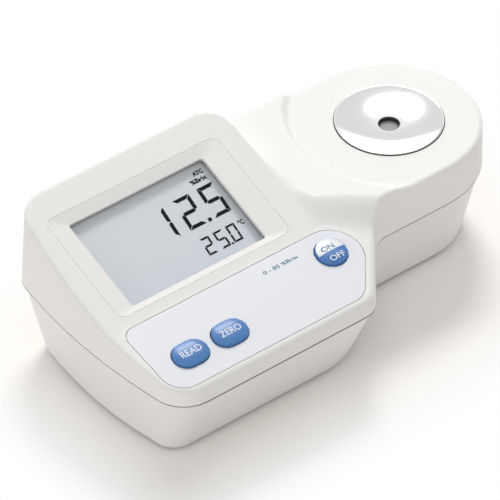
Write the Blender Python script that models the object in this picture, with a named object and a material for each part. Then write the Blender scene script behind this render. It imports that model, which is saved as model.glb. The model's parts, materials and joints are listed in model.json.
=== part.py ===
"""Digital refractometer: a hand-held bench instrument that reads the sugar content of a drop of liquid.

The row frame has its origin in the middle of the footprint, on the surface that the feet stand on.
+X runs from the display to the round sample end, +Y points away from the user and +Z is up.
Lengths are in metres.
"""

import math

import bmesh
import bpy
from mathutils import Matrix, Vector, geometry

# Overall sizes
LENGTH = 0.192
DEPTH = 0.102
HEIGHT = 0.067
FOOT_PROUD = 0.0010
PARTING_Z = 0.0322
WALL = 0.0026
CLEARANCE = 0.0003
OVERRUN = 0.0010
SMOOTH_ANGLE = math.radians(32)

# Plan outline at the parting line
END_RADIUS = 0.0356
LEFT_BOW = 0.0028
CORNER_RADIUS = 0.0138
ELBOW_X = -0.0005
ELBOW_ANGLE = math.radians(50.3)
ELBOW_RADIUS = 0.0090
COVE_RADIUS = 0.0110
COVE_LEAD = 0.0060
CORNER_STEPS = 6
ELBOW_STEPS = 5
COVE_STEPS = 6
END_STEPS = 20
CREASE_LEFT_STEPS = 6
FACET_LEFT_STEPS = 2

# How the sides of an offset outline share its inset at the corners
CORNER_SHARE = 0.4
ELBOW_SHARE = 0.3
COVE_SHARE = 0.4

# Display panel and keypad facet, both sloping down to the user
PANEL_SLOPE = 0.355
CREASE_Y = -0.0120
FACET_SLOPE = 0.21
PANEL_RIGHT_X = 0.0020
STEP_WIDTH = 0.0060
PANEL_CORNER = 0.0090
PANEL_CORNER_STEPS = 4
STEP_ROWS = 6
STEP_STATIONS_Y = (0.0310, 0.0200, 0.0115, 0.0060, 0.0015, -0.0030)
COVE_FOOT_BEND = (0.0075, -0.0035)
COVE_TOP_BEND = (0.0110, -0.0055)
COVE_STATIONS = 4

# Neck and sample platform
NECK_TOP_Z = 0.0527
PLATFORM_Z = 0.0500
PLATFORM_RADIUS = 0.0440
PLATFORM_SHIFT = 0.0060
PLATFORM_FILLET = 0.0034
PLATFORM_FADE = 0.0060
PLATFORM_ROWS = 4
PLATFORM_STEPS = 10

# How far each side of the upper shell leans in at its rim, and the rim's fillet
RIM_FILLET = 0.0018
RIM_STEPS = 3
LEAN_LEFT = 0.0004
LEAN_NEAR = 0.0012
LEAN_FAR = 0.0030
LEAN_ELBOW = 0.0008
LEAN_NECK = 0.0003
HOLLOW_FILLET = 0.0006

# How far each side of the lower shell is drawn in where its bottom edge begins to round
PARTING_STEP = 0.0008
BASE_LEFT = 0.0054
BASE_NEAR = 0.0118
BASE_FAR = 0.0080
BASE_ELBOW = 0.0066
BASE_NECK = 0.0067
BASE_BEND = 0.0240
BASE_FILLET = 0.0035
BASE_STEPS = 3
FLOOR = 0.0025
SEAL_WIDTH = 0.0008
SEAL_HEIGHT = 0.0012

# Display opening, measured in plan, its sloping surround, and what lies under it
WINDOW_LEFT = -0.0785
WINDOW_RIGHT = -0.0160
WINDOW_NEAR = -0.0065
WINDOW_FAR = 0.0315
WINDOW_CORNER = 0.0012
SURROUND_LEFT = 0.0079
SURROUND_RIGHT = 0.0095
SURROUND_NEAR = 0.0028
SURROUND_FAR = 0.0047
SURROUND_DEPTH = 0.0013
SURROUND_CORNER = 0.0055
CORNER_ARC_STEPS = 4
PANE_LAP = 0.0024
PANE_THICK = 0.0015
LCD_LAP = 0.0016
LCD_THICK = 0.0028
FRAME_WALL = 0.0018
FRAME_LIP = 0.0025
FRAME_LIP_THICK = 0.0009
STRIP_WIDTH = 0.0020
STRIP_HEIGHT = 0.0022
STRIP_END = 0.0040

# Main board, parallel to the display
BOARD_THICK = 0.0016
MAIN_MARGIN = 0.0060
MAIN_NEAR = 0.0200
MAIN_FAR = 0.0130
MAIN_SCREW_INSET = 0.0030
MAIN_SCREW_RISE = -0.0100
CHIP_SIDE = 0.0140
CHIP_THICK = 0.0014
CHIP_SHIFT = 0.0120

# Keypad
OVERLAY_THICK = 0.0005
OVERLAY_LEFT = -0.0902
OVERLAY_FAR = -0.0142
OVERLAY_NEAR = -0.0470
OVERLAY_EDGE = 0.0016
OVERLAY_CORNER = 0.0090
OVERLAY_STEPS = 8
OVERLAY_FAR_CORNER = 0.0050
OVERLAY_END_CORNER = 0.0118
KEY_LENGTH = 0.0150
KEY_WIDTH = 0.0108
POWER_DIAMETER = 0.0127
KEY_PROUD = 0.0012
KEY_CROWN = 0.0006
KEY_CROWN_INSET = 0.0018
KEY_EDGE = 0.0005
KEY_FLANGE = 0.0012
KEY_FLANGE_THICK = 0.0010
KEY_TRAVEL = 0.0006
KEY_STEM_RADIUS = 0.0015
KEY_STEM_ENTRY = 0.0018
KEY_STEPS = 8
READ_X = -0.0744
ZERO_X = -0.0562
KEY_ROW_Y = -0.0348
POWER_X = -0.0005
POWER_Y = -0.0247
SWITCH_SIDE = 0.0060
SWITCH_HEIGHT = 0.0034
SWITCH_EDGE = 0.0042
KEYPAD_SCREW_X = (-0.0420, -0.0180)
KEYPAD_SCREW_Y = -0.0340

# Sample well
WELL_X = LENGTH / 2 - END_RADIUS
WELL_Y = DEPTH / 2 - END_RADIUS
WELL_RADIUS = 0.0208
WELL_PROUD = 0.0008
WELL_RIM_WIDTH = 0.0010
WELL_DEPTH = 0.0032
WELL_RIM_EDGE = 0.0003
WELL_SEAT = 0.0040
WELL_FLOOR = 0.0014
WELL_TUBE_RADIUS = 0.0125
WELL_TUBE_LENGTH = 0.0043
DISH_STEPS = 6
WELL_STEPS = 36
SEAT_RADIUS = 0.0240
SEAT_THICK = 0.0020

# Optics under the well
PRISM_RADIUS = 0.0042
PRISM_RECESS = 0.0010
PRISM_LENGTH = 0.0130
PRISM_WIDTH = 0.0100
PRISM_FOOT_LENGTH = 0.0060
PRISM_HEIGHT = 0.0090
GASKET_THICK = 0.0008
GASKET_WIDTH = 0.0020
OPTICS_LEFT = 0.0400
OPTICS_RIGHT = 0.0710
OPTICS_WIDTH = 0.0220
OPTICS_HEIGHT = 0.0120
OPTICS_FLOOR = 0.0040
LAMP_RADIUS = 0.0025
LAMP_LENGTH = 0.0086
LAMP_OUT = 0.0015
LENS_RADIUS = 0.0036
LENS_THICK = 0.0022
LENS_SAG = 0.0005
APERTURE_RADIUS = 0.0020
SENSOR_LENGTH = 0.0070
SENSOR_HEIGHT = 0.0030
SENSOR_THICK = 0.0012
SENSOR_BOARD_WIDTH = 0.0190
SENSOR_BOARD_HEIGHT = 0.0110
THERMISTOR_RADIUS = 0.0012
THERMISTOR_LENGTH = 0.0030
EAR_REACH = 0.0090
EAR_WIDTH = 0.0080
EAR_THICK = 0.0030
EAR_SCREW_REACH = 0.0050
CABLE_THICK = 0.0004
CABLE_WIDTH = 0.0080
CABLE_BEND = 0.0040

# Battery bay and its round bayonet cover, in the underside
BAY_X = -0.0400
BAY_Y = 0.0040
COVER_RIM = 0.0031
COVER_THICK = 0.0024
COVER_SETBACK = 0.0002
SKIRT_WALL = 0.0027
LUG_REACH = 0.0018
LUG_THICK = 0.0020
LUG_COUNT = 3
LUG_ANGLE = math.radians(22)
LUG_PLAY = math.radians(3)
COVER_TURN = math.radians(60)
LEDGE_THICK = 0.0024
BAY_WALL = 0.0022
BAY_STEPS = 36
GRIP_RADIUS = 0.0200
GRIP_BAR = 0.0060
GRIP_DEPTH = 0.0015
COVER_SEAL_REACH = 0.0013
COVER_SEAL_WIDTH = 0.0009
COVER_SEAL_HEIGHT = 0.0008
BATTERY_LENGTH = 0.0485
BATTERY_WIDTH = 0.0265
BATTERY_HEIGHT = 0.0175
BATTERY_CORNER = 0.0015
BATTERY_SHIFT = 0.0020
SNAP_THICK = 0.0045
SNAP_WIDTH = 0.0170
SNAP_HEIGHT = 0.0120
LEAD_RADIUS = 0.0006
LEAD_SPACING = 0.0050
LEAD_BOW = 0.0012

# Fasteners and feet
POST_RADIUS = 0.0040
BOSS_REACH = 0.0160
SCREW_RADIUS = 0.0014
SCREW_HEAD_RADIUS = 0.0027
SCREW_HEAD = 0.0022
SCREW_DEPTH = 0.0060
SCREW_LENGTH = 0.0310
SMALL_SCREW_RADIUS = 0.0010
SMALL_HEAD_RADIUS = 0.0020
SMALL_HEAD = 0.0013
SMALL_SCREW_LENGTH = 0.0050
SMALL_BOSS_RADIUS = 0.0026
HEAD_EDGE = 0.0004
SCREW_STEPS = 9
WEB_THICK = 0.0018
FOOT_RADIUS = 0.0045
FOOT_THICK = 0.0020
FOOT_EDGE = 0.0004

WEBBED_SCREW = (-0.0770, 0.0330)
HOUSING_SCREWS = (
    WEBBED_SCREW,
    (-0.0785, -0.0150),
    (0.0010, -0.0115),
    (0.0160, 0.0325),
    (0.0785, 0.0154),
)
FEET = ((-0.0665, 0.0340), (-0.0700, -0.0290), (0.0660, 0.0020), (0.0660, 0.0285))

# Base colour, roughness and metallic value of each finish
COLOURS = {
    "shell": ((0.93, 0.925, 0.91), 0.42, 0.0),
    "clear": ((0.85, 0.88, 0.88), 0.06, 0.0),
    "display": ((0.58, 0.63, 0.66), 0.25, 0.0),
    "overlay": ((0.88, 0.90, 0.94), 0.35, 0.0),
    "key": ((0.06, 0.25, 0.60), 0.35, 0.0),
    "steel": ((0.75, 0.75, 0.76), 0.12, 1.0),
    "glass": ((0.55, 0.60, 0.60), 0.05, 0.0),
    "rubber": ((0.05, 0.05, 0.05), 0.80, 0.0),
    "seal": ((0.20, 0.20, 0.21), 0.75, 0.0),
    "black_plastic": ((0.03, 0.03, 0.03), 0.50, 0.0),
    "board": ((0.02, 0.20, 0.08), 0.45, 0.0),
    "chip": ((0.03, 0.03, 0.035), 0.40, 0.0),
    "screw": ((0.55, 0.55, 0.56), 0.30, 1.0),
    "lamp": ((0.85, 0.65, 0.10), 0.15, 0.0),
    "battery": ((0.10, 0.10, 0.11), 0.35, 0.4),
    "red_wire": ((0.60, 0.03, 0.02), 0.45, 0.0),
    "black_wire": ((0.02, 0.02, 0.02), 0.45, 0.0),
    "cable": ((0.75, 0.73, 0.66), 0.45, 0.0),
}


# General tools


def clear_scene():
    for obj in list(bpy.data.objects):
        bpy.data.objects.remove(obj, do_unlink=True)


def material(finish):
    found = bpy.data.materials.get(finish)
    if found:
        return found
    colour, roughness, metallic = COLOURS[finish]
    made = bpy.data.materials.new(finish)
    made.use_nodes = True
    shader = made.node_tree.nodes["Principled BSDF"]
    shader.inputs["Base Color"].default_value = (*colour, 1.0)
    shader.inputs["Roughness"].default_value = roughness
    shader.inputs["Metallic"].default_value = metallic
    return made


def add_object(name, shape, finish=None, matrix=None):
    """Links a bmesh as a named object. One without a finish is a cutter or a form to be joined on."""
    bmesh.ops.recalc_face_normals(shape, faces=shape.faces)
    mesh = bpy.data.meshes.new(name)
    shape.to_mesh(mesh)
    shape.free()
    obj = bpy.data.objects.new(name, mesh)
    bpy.context.scene.collection.objects.link(obj)
    if matrix is not None:
        obj.matrix_world = matrix
    if finish:
        mesh.materials.append(material(finish))
        mesh.shade_smooth()
        mesh.set_sharp_from_angle(angle=SMOOTH_ANGLE)
    else:
        obj.hide_render = True
        obj.display_type = "WIRE"
    return obj


def combine(target, other, operation):
    modifier = target.modifiers.new(other.name, "BOOLEAN")
    modifier.operation = operation
    modifier.object = other


def cut(target, *cutters):
    for cutter in cutters:
        combine(target, cutter, "DIFFERENCE")


def join(target, *forms):
    for form in forms:
        combine(target, form, "UNION")


def skin_rings(shape, one, two):
    count = max(len(one), len(two))
    for i in range(count):
        j = (i + 1) % count
        if len(one) == 1:
            shape.faces.new((one[0], two[i], two[j]))
        elif len(two) == 1:
            shape.faces.new((one[i], one[j], two[0]))
        else:
            shape.faces.new((one[i], one[j], two[j], two[i]))


def loft(name, loops, finish=None, matrix=None):
    """A closed solid through loops of equal count, each a list of points, capped at both ends."""
    shape = bmesh.new()
    rings = [[shape.verts.new(point) for point in loop] for loop in loops]
    for low, high in zip(rings, rings[1:]):
        skin_rings(shape, low, high)
    shape.faces.new(rings[0][::-1])
    shape.faces.new(rings[-1])
    return add_object(name, shape, finish, matrix)


def at_height(points, z):
    return [(x, y, z) for x, y in points]


def extrusion(name, points, low, high, finish=None, matrix=None):
    return loft(name, [at_height(points, low), at_height(points, high)], finish, matrix)


def circle(x, y, radius, steps):
    turns = [2 * math.pi * i / steps for i in range(steps)]
    return [(x + radius * math.cos(turn), y + radius * math.sin(turn)) for turn in turns]


def rectangle(left, right, near, far):
    return [(left, near), (right, near), (right, far), (left, far)]


def corner_arc(before, corner, after, radius, steps):
    """The arc of this radius that rounds a corner between two other points."""
    corner = Vector(corner)
    back = (Vector(before) - corner).normalized()
    ahead = (Vector(after) - corner).normalized()
    half = back.angle(ahead) / 2
    centre = corner + (back + ahead).normalized() * radius / math.sin(half)
    start = corner + back * radius / math.tan(half) - centre
    end = corner + ahead * radius / math.tan(half) - centre
    first = math.atan2(start.y, start.x)
    sweep = (math.atan2(end.y, end.x) - first + math.pi) % (2 * math.pi) - math.pi
    turns = [first + sweep * k / steps for k in range(steps + 1)]
    return [(centre.x + radius * math.cos(turn), centre.y + radius * math.sin(turn)) for turn in turns]


def rounded(corners, radii, steps):
    """A closed outline with each corner rounded to its own radius."""
    points = []
    for i, radius in enumerate(radii):
        points += corner_arc(corners[i - 1], corners[i], corners[(i + 1) % len(corners)], radius, steps)
    return points


def rounded_rectangle(left, right, near, far, radius, steps=CORNER_ARC_STEPS):
    return rounded(rectangle(left, right, near, far), [radius] * 4, steps)


def turned(name, profile, x, y, steps, finish=None, matrix=None):
    """A solid turned about a vertical axis from (radius, height) points whose ends lie on the axis."""
    shape = bmesh.new()
    rings = []
    for radius, z in profile:
        ring = at_height(circle(x, y, radius, steps), z) if radius else [(x, y, z)]
        rings.append([shape.verts.new(point) for point in ring])
    for one, two in zip(rings, rings[1:]):
        skin_rings(shape, one, two)
    return add_object(name, shape, finish, matrix)


def cylinder(name, x, y, radius, low, high, steps, finish=None, matrix=None):
    return extrusion(name, circle(x, y, radius, steps), low, high, finish, matrix)


def band(name, loops, finish=None, matrix=None):
    """A closed ring through matching loops, the last joined to the first."""
    shape = bmesh.new()
    rings = [[shape.verts.new(point) for point in loop] for loop in loops]
    for k in range(len(rings)):
        skin_rings(shape, rings[k], rings[(k + 1) % len(rings)])
    return add_object(name, shape, finish, matrix)


def tube(name, x, y, inner, outer, low, high, steps, finish=None):
    section = ((inner, low), (outer, low), (outer, high), (inner, high))
    return band(name, [at_height(circle(x, y, r, steps), z) for r, z in section], finish)


# Plan outline of the housing


def housing_outline(left, near, elbow, neck, far, step_shift=0.0, bend_more=0.0):
    """The plan outline with each side drawn in by these lengths, anticlockwise from the near-left corner.

    The elbow's radius grows by bend_more. The second list gives, for each point, how far it lies across the
    step from the panel to the neck.
    """
    x_left, x_side = -LENGTH / 2 + left, -LENGTH / 2 + left + LEFT_BOW
    y_near, y_far = -DEPTH / 2 + near, DEPTH / 2 - far
    y_neck, y_neck_far = WELL_Y - END_RADIUS + neck, DEPTH / 2 - neck
    ahead = Vector((math.cos(ELBOW_ANGLE), math.sin(ELBOW_ANGLE)))
    on_elbow = Vector((ELBOW_X, -DEPTH / 2)) + Vector((-ahead.y, ahead.x)) * elbow
    elbow_corner = on_elbow + ahead * (y_near - on_elbow.y) / ahead.y
    cove_corner = on_elbow + ahead * (y_neck - on_elbow.y) / ahead.y
    points, across = [], []

    def add(more, shares):
        points.extend(more)
        across.extend(shares)

    near_radius = CORNER_RADIUS - CORNER_SHARE * max(left, near)
    near_corner = corner_arc((x_side, y_far), (x_side, y_near), elbow_corner, near_radius, CORNER_STEPS)
    add(near_corner, [0] * len(near_corner))
    elbow_radius = ELBOW_RADIUS - ELBOW_SHARE * max(near, elbow) + bend_more
    bend = corner_arc((x_side, y_near), elbow_corner, cove_corner, elbow_radius, ELBOW_STEPS)
    add(bend, [0] * len(bend))
    cove = corner_arc(elbow_corner, cove_corner, (WELL_X, y_neck), COVE_RADIUS + COVE_SHARE * elbow, COVE_STEPS)
    lead = Vector(cove[0]) - ahead * COVE_LEAD
    add([tuple(lead)], [0])
    add(cove, [min((k + 1) / STEP_ROWS, 1) for k in range(len(cove))])
    near_rows = [(platform_x(y_neck, k), y_neck) for k in range(PLATFORM_ROWS, -1, -1)]
    add(near_rows, [1] * len(near_rows))
    turns = [math.pi * (k / END_STEPS - 1 / 2) for k in range(END_STEPS + 1)]
    radius = END_RADIUS - neck
    end = [(WELL_X + radius * math.cos(turn), WELL_Y + radius * math.sin(turn)) for turn in turns]
    add(end, [1] * len(end))
    far_rows = [(platform_x(y_neck_far, k), y_neck_far) for k in range(PLATFORM_ROWS + 1)]
    add(far_rows, [1] * len(far_rows))
    for k in range(STEP_ROWS, -1, -1):
        share = k / STEP_ROWS
        y = y_far + (y_neck_far - y_far) * share
        radius = PANEL_CORNER + step_shift
        reach = math.sqrt((radius + STEP_WIDTH * share) ** 2 - radius ** 2)
        add([(PANEL_RIGHT_X - PANEL_CORNER + reach, y)], [share])
    far_radius = CORNER_RADIUS - CORNER_SHARE * max(left, far)
    far_corner = corner_arc((WELL_X, y_far), (x_side, y_far), (x_side, y_near), far_radius, CORNER_STEPS)
    add(far_corner, [0] * len(far_corner))
    # The bowed display end, with a point where the crease meets it
    y_start, y_end = far_corner[-1][1], near_corner[0][1]
    rows = [y_start + (CREASE_Y - y_start) * k / CREASE_LEFT_STEPS for k in range(1, CREASE_LEFT_STEPS + 1)]
    rows += [CREASE_Y + (y_end - CREASE_Y) * k / FACET_LEFT_STEPS for k in range(1, FACET_LEFT_STEPS)]
    for y in rows:
        add([(x_left + LEFT_BOW * (y / (y_start if y > 0 else y_end)) ** 2, y)], [0])
    return points, across


# Height of the upper surface


def platform_width(y):
    """Width of the soft step up from the platform, which spreads out towards the near side."""
    near = max((WELL_Y - y) / END_RADIUS, 0)
    return PLATFORM_FILLET + PLATFORM_FADE * near ** 2


def platform_x(y, row):
    """Place of this row of the platform's step, from its foot at row 0."""
    reach = PLATFORM_RADIUS + platform_width(y) * (row / PLATFORM_ROWS - 1 / 2)
    return WELL_X + PLATFORM_SHIFT - math.sqrt(reach ** 2 - (y - WELL_Y) ** 2)


def panel_height(y):
    """The display panel, or the flatter keypad facet below the crease."""
    top_y = DEPTH / 2 - LEAN_FAR - RIM_FILLET
    crease_z = HEIGHT - PANEL_SLOPE * (top_y - CREASE_Y)
    if y > CREASE_Y:
        return HEIGHT - PANEL_SLOPE * (top_y - y)
    return crease_z - FACET_SLOPE * (CREASE_Y - y)


def neck_height(x, y):
    """The neck, with the sample platform a little below it inside a soft step."""
    reach = math.hypot(x - WELL_X - PLATFORM_SHIFT, y - WELL_Y)
    share = (reach - PLATFORM_RADIUS) / platform_width(y) + 1 / 2
    return PLATFORM_Z + (NECK_TOP_Z - PLATFORM_Z) * eased(min(max(share, 0), 1))


def eased(share):
    """The same way from 0 to 1 with a soft start and end."""
    return share * share * (3 - 2 * share)


def top_height(x, y, across):
    """A soft step drops from a higher panel to the neck, or climbs to it from a lower one."""
    panel, neck = panel_height(y), neck_height(x, y)
    return panel + (neck - panel) * eased(across)


def curve_points(start, bend, end, count):
    """Points after the start along a quadratic curve whose middle handle lies at a bend from the start."""
    start, end = Vector(start), Vector(end)
    handle = start + Vector(bend)
    shares = [k / count for k in range(1, count + 1)]
    return [start * (1 - s) ** 2 + handle * 2 * s * (1 - s) + end * s * s for s in shares]


def step_grid(rim, across, drop, step_shift):
    """Rows of points, from the panel side to the neck side, each from the far rim to the near rim."""
    far = [i for i, share in enumerate(across) if 0 < share < 1]
    first = far[0] - 1
    last = far[-1] + 1
    near_ends = range(first, first + STEP_ROWS + 1)
    far_ends = range(last, last - STEP_ROWS - 1, -1)
    foot_x = PANEL_RIGHT_X + step_shift
    radius = PANEL_CORNER + step_shift
    centre = Vector((PANEL_RIGHT_X - PANEL_CORNER, rim[last][1] - radius))

    def corner(reach):
        """Points round the panel's far corner, after its start on the rim."""
        start = math.asin(radius / reach)
        turns = [start * (1 - k / PANEL_CORNER_STEPS) for k in range(1, PANEL_CORNER_STEPS + 1)]
        return [centre + Vector((math.cos(turn), math.sin(turn))) * reach for turn in turns]

    foot = corner(radius) + [Vector((foot_x, y)) for y in STEP_STATIONS_Y]
    foot.append(Vector((PANEL_RIGHT_X, CREASE_Y)))
    foot += curve_points(foot[-1], COVE_FOOT_BEND, rim[near_ends[0]], COVE_STATIONS - 1)
    top = corner(radius + STEP_WIDTH) + [Vector((foot_x + STEP_WIDTH, y)) for y in STEP_STATIONS_Y]
    top += curve_points((PANEL_RIGHT_X + STEP_WIDTH, STEP_STATIONS_Y[-1]), COVE_TOP_BEND,
                        rim[near_ends[-1]], COVE_STATIONS)
    rows = []
    for k in range(STEP_ROWS + 1):
        share = k / STEP_ROWS
        inner = [low.lerp(high, share) for low, high in zip(foot[:-1], top[:-1])]
        row = [(point.x, point.y, top_height(point.x, point.y, share) - drop) for point in inner]
        rows.append((far_ends[k], row, near_ends[k]))
    return rows


def upper_form(name, inset, drop, fillet, low, step_shift=0.0, finish=None):
    """The closed form under the upper surface, drawn in at its sides and lowered at its top."""

    def ring(lean, draw):
        return housing_outline(inset + lean * LEAN_LEFT + draw, inset + lean * LEAN_NEAR + draw,
                               inset + lean * LEAN_ELBOW + draw, inset + lean * LEAN_NECK + draw,
                               inset + lean * LEAN_FAR + draw, step_shift)

    shape = bmesh.new()
    loops = [at_height(ring(0, 0)[0], low)]
    for k in range(RIM_STEPS + 1):
        turn = math.pi / 2 * k / RIM_STEPS
        points, across = ring(1, fillet * (1 - math.cos(turn)))
        fall = drop + fillet * (1 - math.sin(turn))
        loops.append([(x, y, top_height(x, y, s) - fall) for (x, y), s in zip(points, across)])
    rings = [[shape.verts.new(point) for point in loop] for loop in loops]
    for one, two in zip(rings, rings[1:]):
        skin_rings(shape, one, two)
    shape.faces.new(rings[0][::-1])

    # The top, triangulated between the rim, the crease, the step's grid and the platform's edge
    places = [Vector(point) for point in loops[-1]]
    count = len(places)
    edges = [(i, (i + 1) % count) for i in range(count)]
    grid = step_grid(points, across, drop, step_shift)
    chains = []
    for start, row, end in grid:
        first = len(places)
        places += [Vector(point) for point in row]
        chains.append([start, *range(first, len(places)), end])
    for one, two in zip(chains, chains[1:]):
        edges += [(a, b) for a, b in zip(one[1:-1], two[1:-1])]
    crease_end = chains[0][PANEL_CORNER_STEPS + len(STEP_STATIONS_Y) + 1]
    crease_start = min(range(count), key=lambda i: (abs(points[i][1] - CREASE_Y), points[i][0]))
    edges.append((crease_start, crease_end))
    rows = [i for i in range(count) if points[i][0] > PANEL_RIGHT_X + STEP_WIDTH + fillet and across[i] == 1]
    for row in range(PLATFORM_ROWS + 1):
        ends = [i for i in rows if abs(points[i][0] - platform_x(points[i][1], row)) < CLEARANCE / 10]
        near_end, far_end = ends[0], ends[-1]
        first_turn = math.asin((points[far_end][1] - WELL_Y) / PLATFORM_RADIUS)
        last_turn = math.asin((points[near_end][1] - WELL_Y) / PLATFORM_RADIUS)
        first = len(places)
        for k in range(1, PLATFORM_STEPS):
            turn = first_turn + (last_turn - first_turn) * k / PLATFORM_STEPS
            y = WELL_Y + PLATFORM_RADIUS * math.sin(turn)
            x = platform_x(y, row)
            places.append(Vector((x, y, neck_height(x, y) - drop)))
        chains.append([far_end, *range(first, len(places)), near_end])
    for chain in chains:
        edges += list(zip(chain, chain[1:]))
    flat = [place.xy for place in places]
    found, _, faces, sources, _, _ = geometry.delaunay_2d_cdt(flat, edges, [], 1, CLEARANCE / 100)
    corners = []
    for point, source in zip(found, sources):
        if not source:
            raise ValueError("the top's lines cross")
        if source[0] < count:
            corners.append(rings[-1][source[0]])
        else:
            corners.append(shape.verts.new(places[source[0]]))
    for face in faces:
        shape.faces.new([corners[i] for i in face])
    return add_object(name, shape, finish)


# Shared places

PANEL_ANGLE = math.atan(PANEL_SLOPE)
FACET_ANGLE = math.atan(FACET_SLOPE)
ROOF_DROP = WALL / math.cos(PANEL_ANGLE)
FACET_WALL = ROOF_DROP * math.cos(FACET_ANGLE)
UPPER_LOW = PARTING_Z + CLEARANCE / 2
LOWER_HIGH = PARTING_Z - CLEARANCE / 2
WINDOW_X = (WINDOW_LEFT + WINDOW_RIGHT) / 2
WINDOW_Y = (WINDOW_NEAR + WINDOW_FAR) / 2
WINDOW_HALF = (WINDOW_RIGHT - WINDOW_LEFT) / 2
WINDOW_RISE = (WINDOW_FAR - WINDOW_NEAR) / 2 / math.cos(PANEL_ANGLE)
PANE_TOP = -WALL - CLEARANCE
LCD_TOP = PANE_TOP - PANE_THICK - CLEARANCE
LCD_BOTTOM = LCD_TOP - LCD_THICK
MAIN_TOP = LCD_BOTTOM - STRIP_HEIGHT - 2 * CLEARANCE
MAIN_BOTTOM = MAIN_TOP - BOARD_THICK
MAIN_HALF = WINDOW_HALF + PANE_LAP + CLEARANCE + FRAME_WALL + MAIN_MARGIN
OVERLAY_BOTTOM = -OVERLAY_THICK
FLANGE_TOP = -FACET_WALL - CLEARANCE
FLANGE_BOTTOM = FLANGE_TOP - KEY_FLANGE_THICK
SWITCH_TOP = FLANGE_BOTTOM - KEY_TRAVEL - CLEARANCE
STEM_BOTTOM = SWITCH_TOP - KEY_STEM_ENTRY
KEYPAD_TOP = SWITCH_TOP - SWITCH_HEIGHT - CLEARANCE
KEYPAD_BOTTOM = KEYPAD_TOP - BOARD_THICK
WELL_TOP = PLATFORM_Z + WELL_PROUD
SEAT_TOP = WELL_TOP - WELL_SEAT - CLEARANCE
SEAT_BOTTOM = SEAT_TOP - SEAT_THICK
HOLE_Z = WELL_TOP - WELL_DEPTH
FLOOR_Z = HOLE_Z - WELL_FLOOR
TUBE_BOTTOM = WELL_TOP - WELL_SEAT - WELL_TUBE_LENGTH
SHOULDER_Z = FLOOR_Z - GASKET_THICK - 2 * CLEARANCE
OPTICS_TOP = TUBE_BOTTOM - CLEARANCE
OPTICS_BOTTOM = OPTICS_TOP - OPTICS_HEIGHT
LIGHT_Z = OPTICS_BOTTOM + OPTICS_HEIGHT / 2 + CLEARANCE
POCKET_HALF = PRISM_LENGTH / 2 + CLEARANCE
BATTERY_REACH = math.hypot(BATTERY_LENGTH / 2 + BATTERY_SHIFT, BATTERY_WIDTH / 2)
SKIRT_RADIUS = BATTERY_REACH + CLEARANCE - LUG_REACH
COVER_RADIUS = SKIRT_RADIUS + COVER_RIM
COVER_SEAL_RADIUS = SKIRT_RADIUS + COVER_SEAL_REACH
COVER_LOW = FOOT_PROUD + COVER_SETBACK
FLANGE_HIGH = COVER_LOW + COVER_THICK
LEDGE_LOW = FLANGE_HIGH + CLEARANCE
LEDGE_HIGH = LEDGE_LOW + LEDGE_THICK
LUG_LOW = LEDGE_HIGH + CLEARANCE
SKIRT_HIGH = LUG_LOW + LUG_THICK
NOTCH_RADIUS = SKIRT_RADIUS + LUG_REACH + CLEARANCE
BAY_RADIUS = NOTCH_RADIUS + CLEARANCE
BATTERY_LOW = SKIRT_HIGH + CLEARANCE
CEILING_LOW = BATTERY_LOW + BATTERY_HEIGHT + CLEARANCE
CEILING_HIGH = CEILING_LOW + BAY_WALL
BATTERY_LEFT = BAY_X - BATTERY_SHIFT - BATTERY_LENGTH / 2
BATTERY_RIGHT = BATTERY_LEFT + BATTERY_LENGTH
SNAP_LEFT = BATTERY_RIGHT + CLEARANCE
HEAD_SEAT = FOOT_PROUD + SCREW_DEPTH
SLOPE_FRAME = Matrix.Translation((0, WINDOW_Y, panel_height(WINDOW_Y))) @ Matrix.Rotation(PANEL_ANGLE, 4, "X")


def facet_frame(y):
    """A frame on the keypad facet with x along the row's X and z out of the surface."""
    return Matrix.Translation((0, y, panel_height(y))) @ Matrix.Rotation(FACET_ANGLE, 4, "X")


FACET_FRAME = facet_frame(KEY_ROW_Y)


def on_facet(y):
    """Distance up the facet frame of a point that lies at this row y on the facet."""
    return (y - KEY_ROW_Y) / math.cos(FACET_ANGLE)


def screw(name, x, y, seat, radius, head_radius, head, length, matrix=None):
    """A pan-head screw pointing up, its head bearing upward at the seat."""
    low = seat - CLEARANCE - head
    profile = [(0, low), (head_radius - HEAD_EDGE, low), (head_radius, low + HEAD_EDGE), (head_radius, low + head),
               (radius, low + head), (radius, low + head + length - radius), (radius / 2, low + head + length),
               (0, low + head + length)]
    return turned(name, profile, x, y, SCREW_STEPS, "screw", matrix)


# Upper shell


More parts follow.
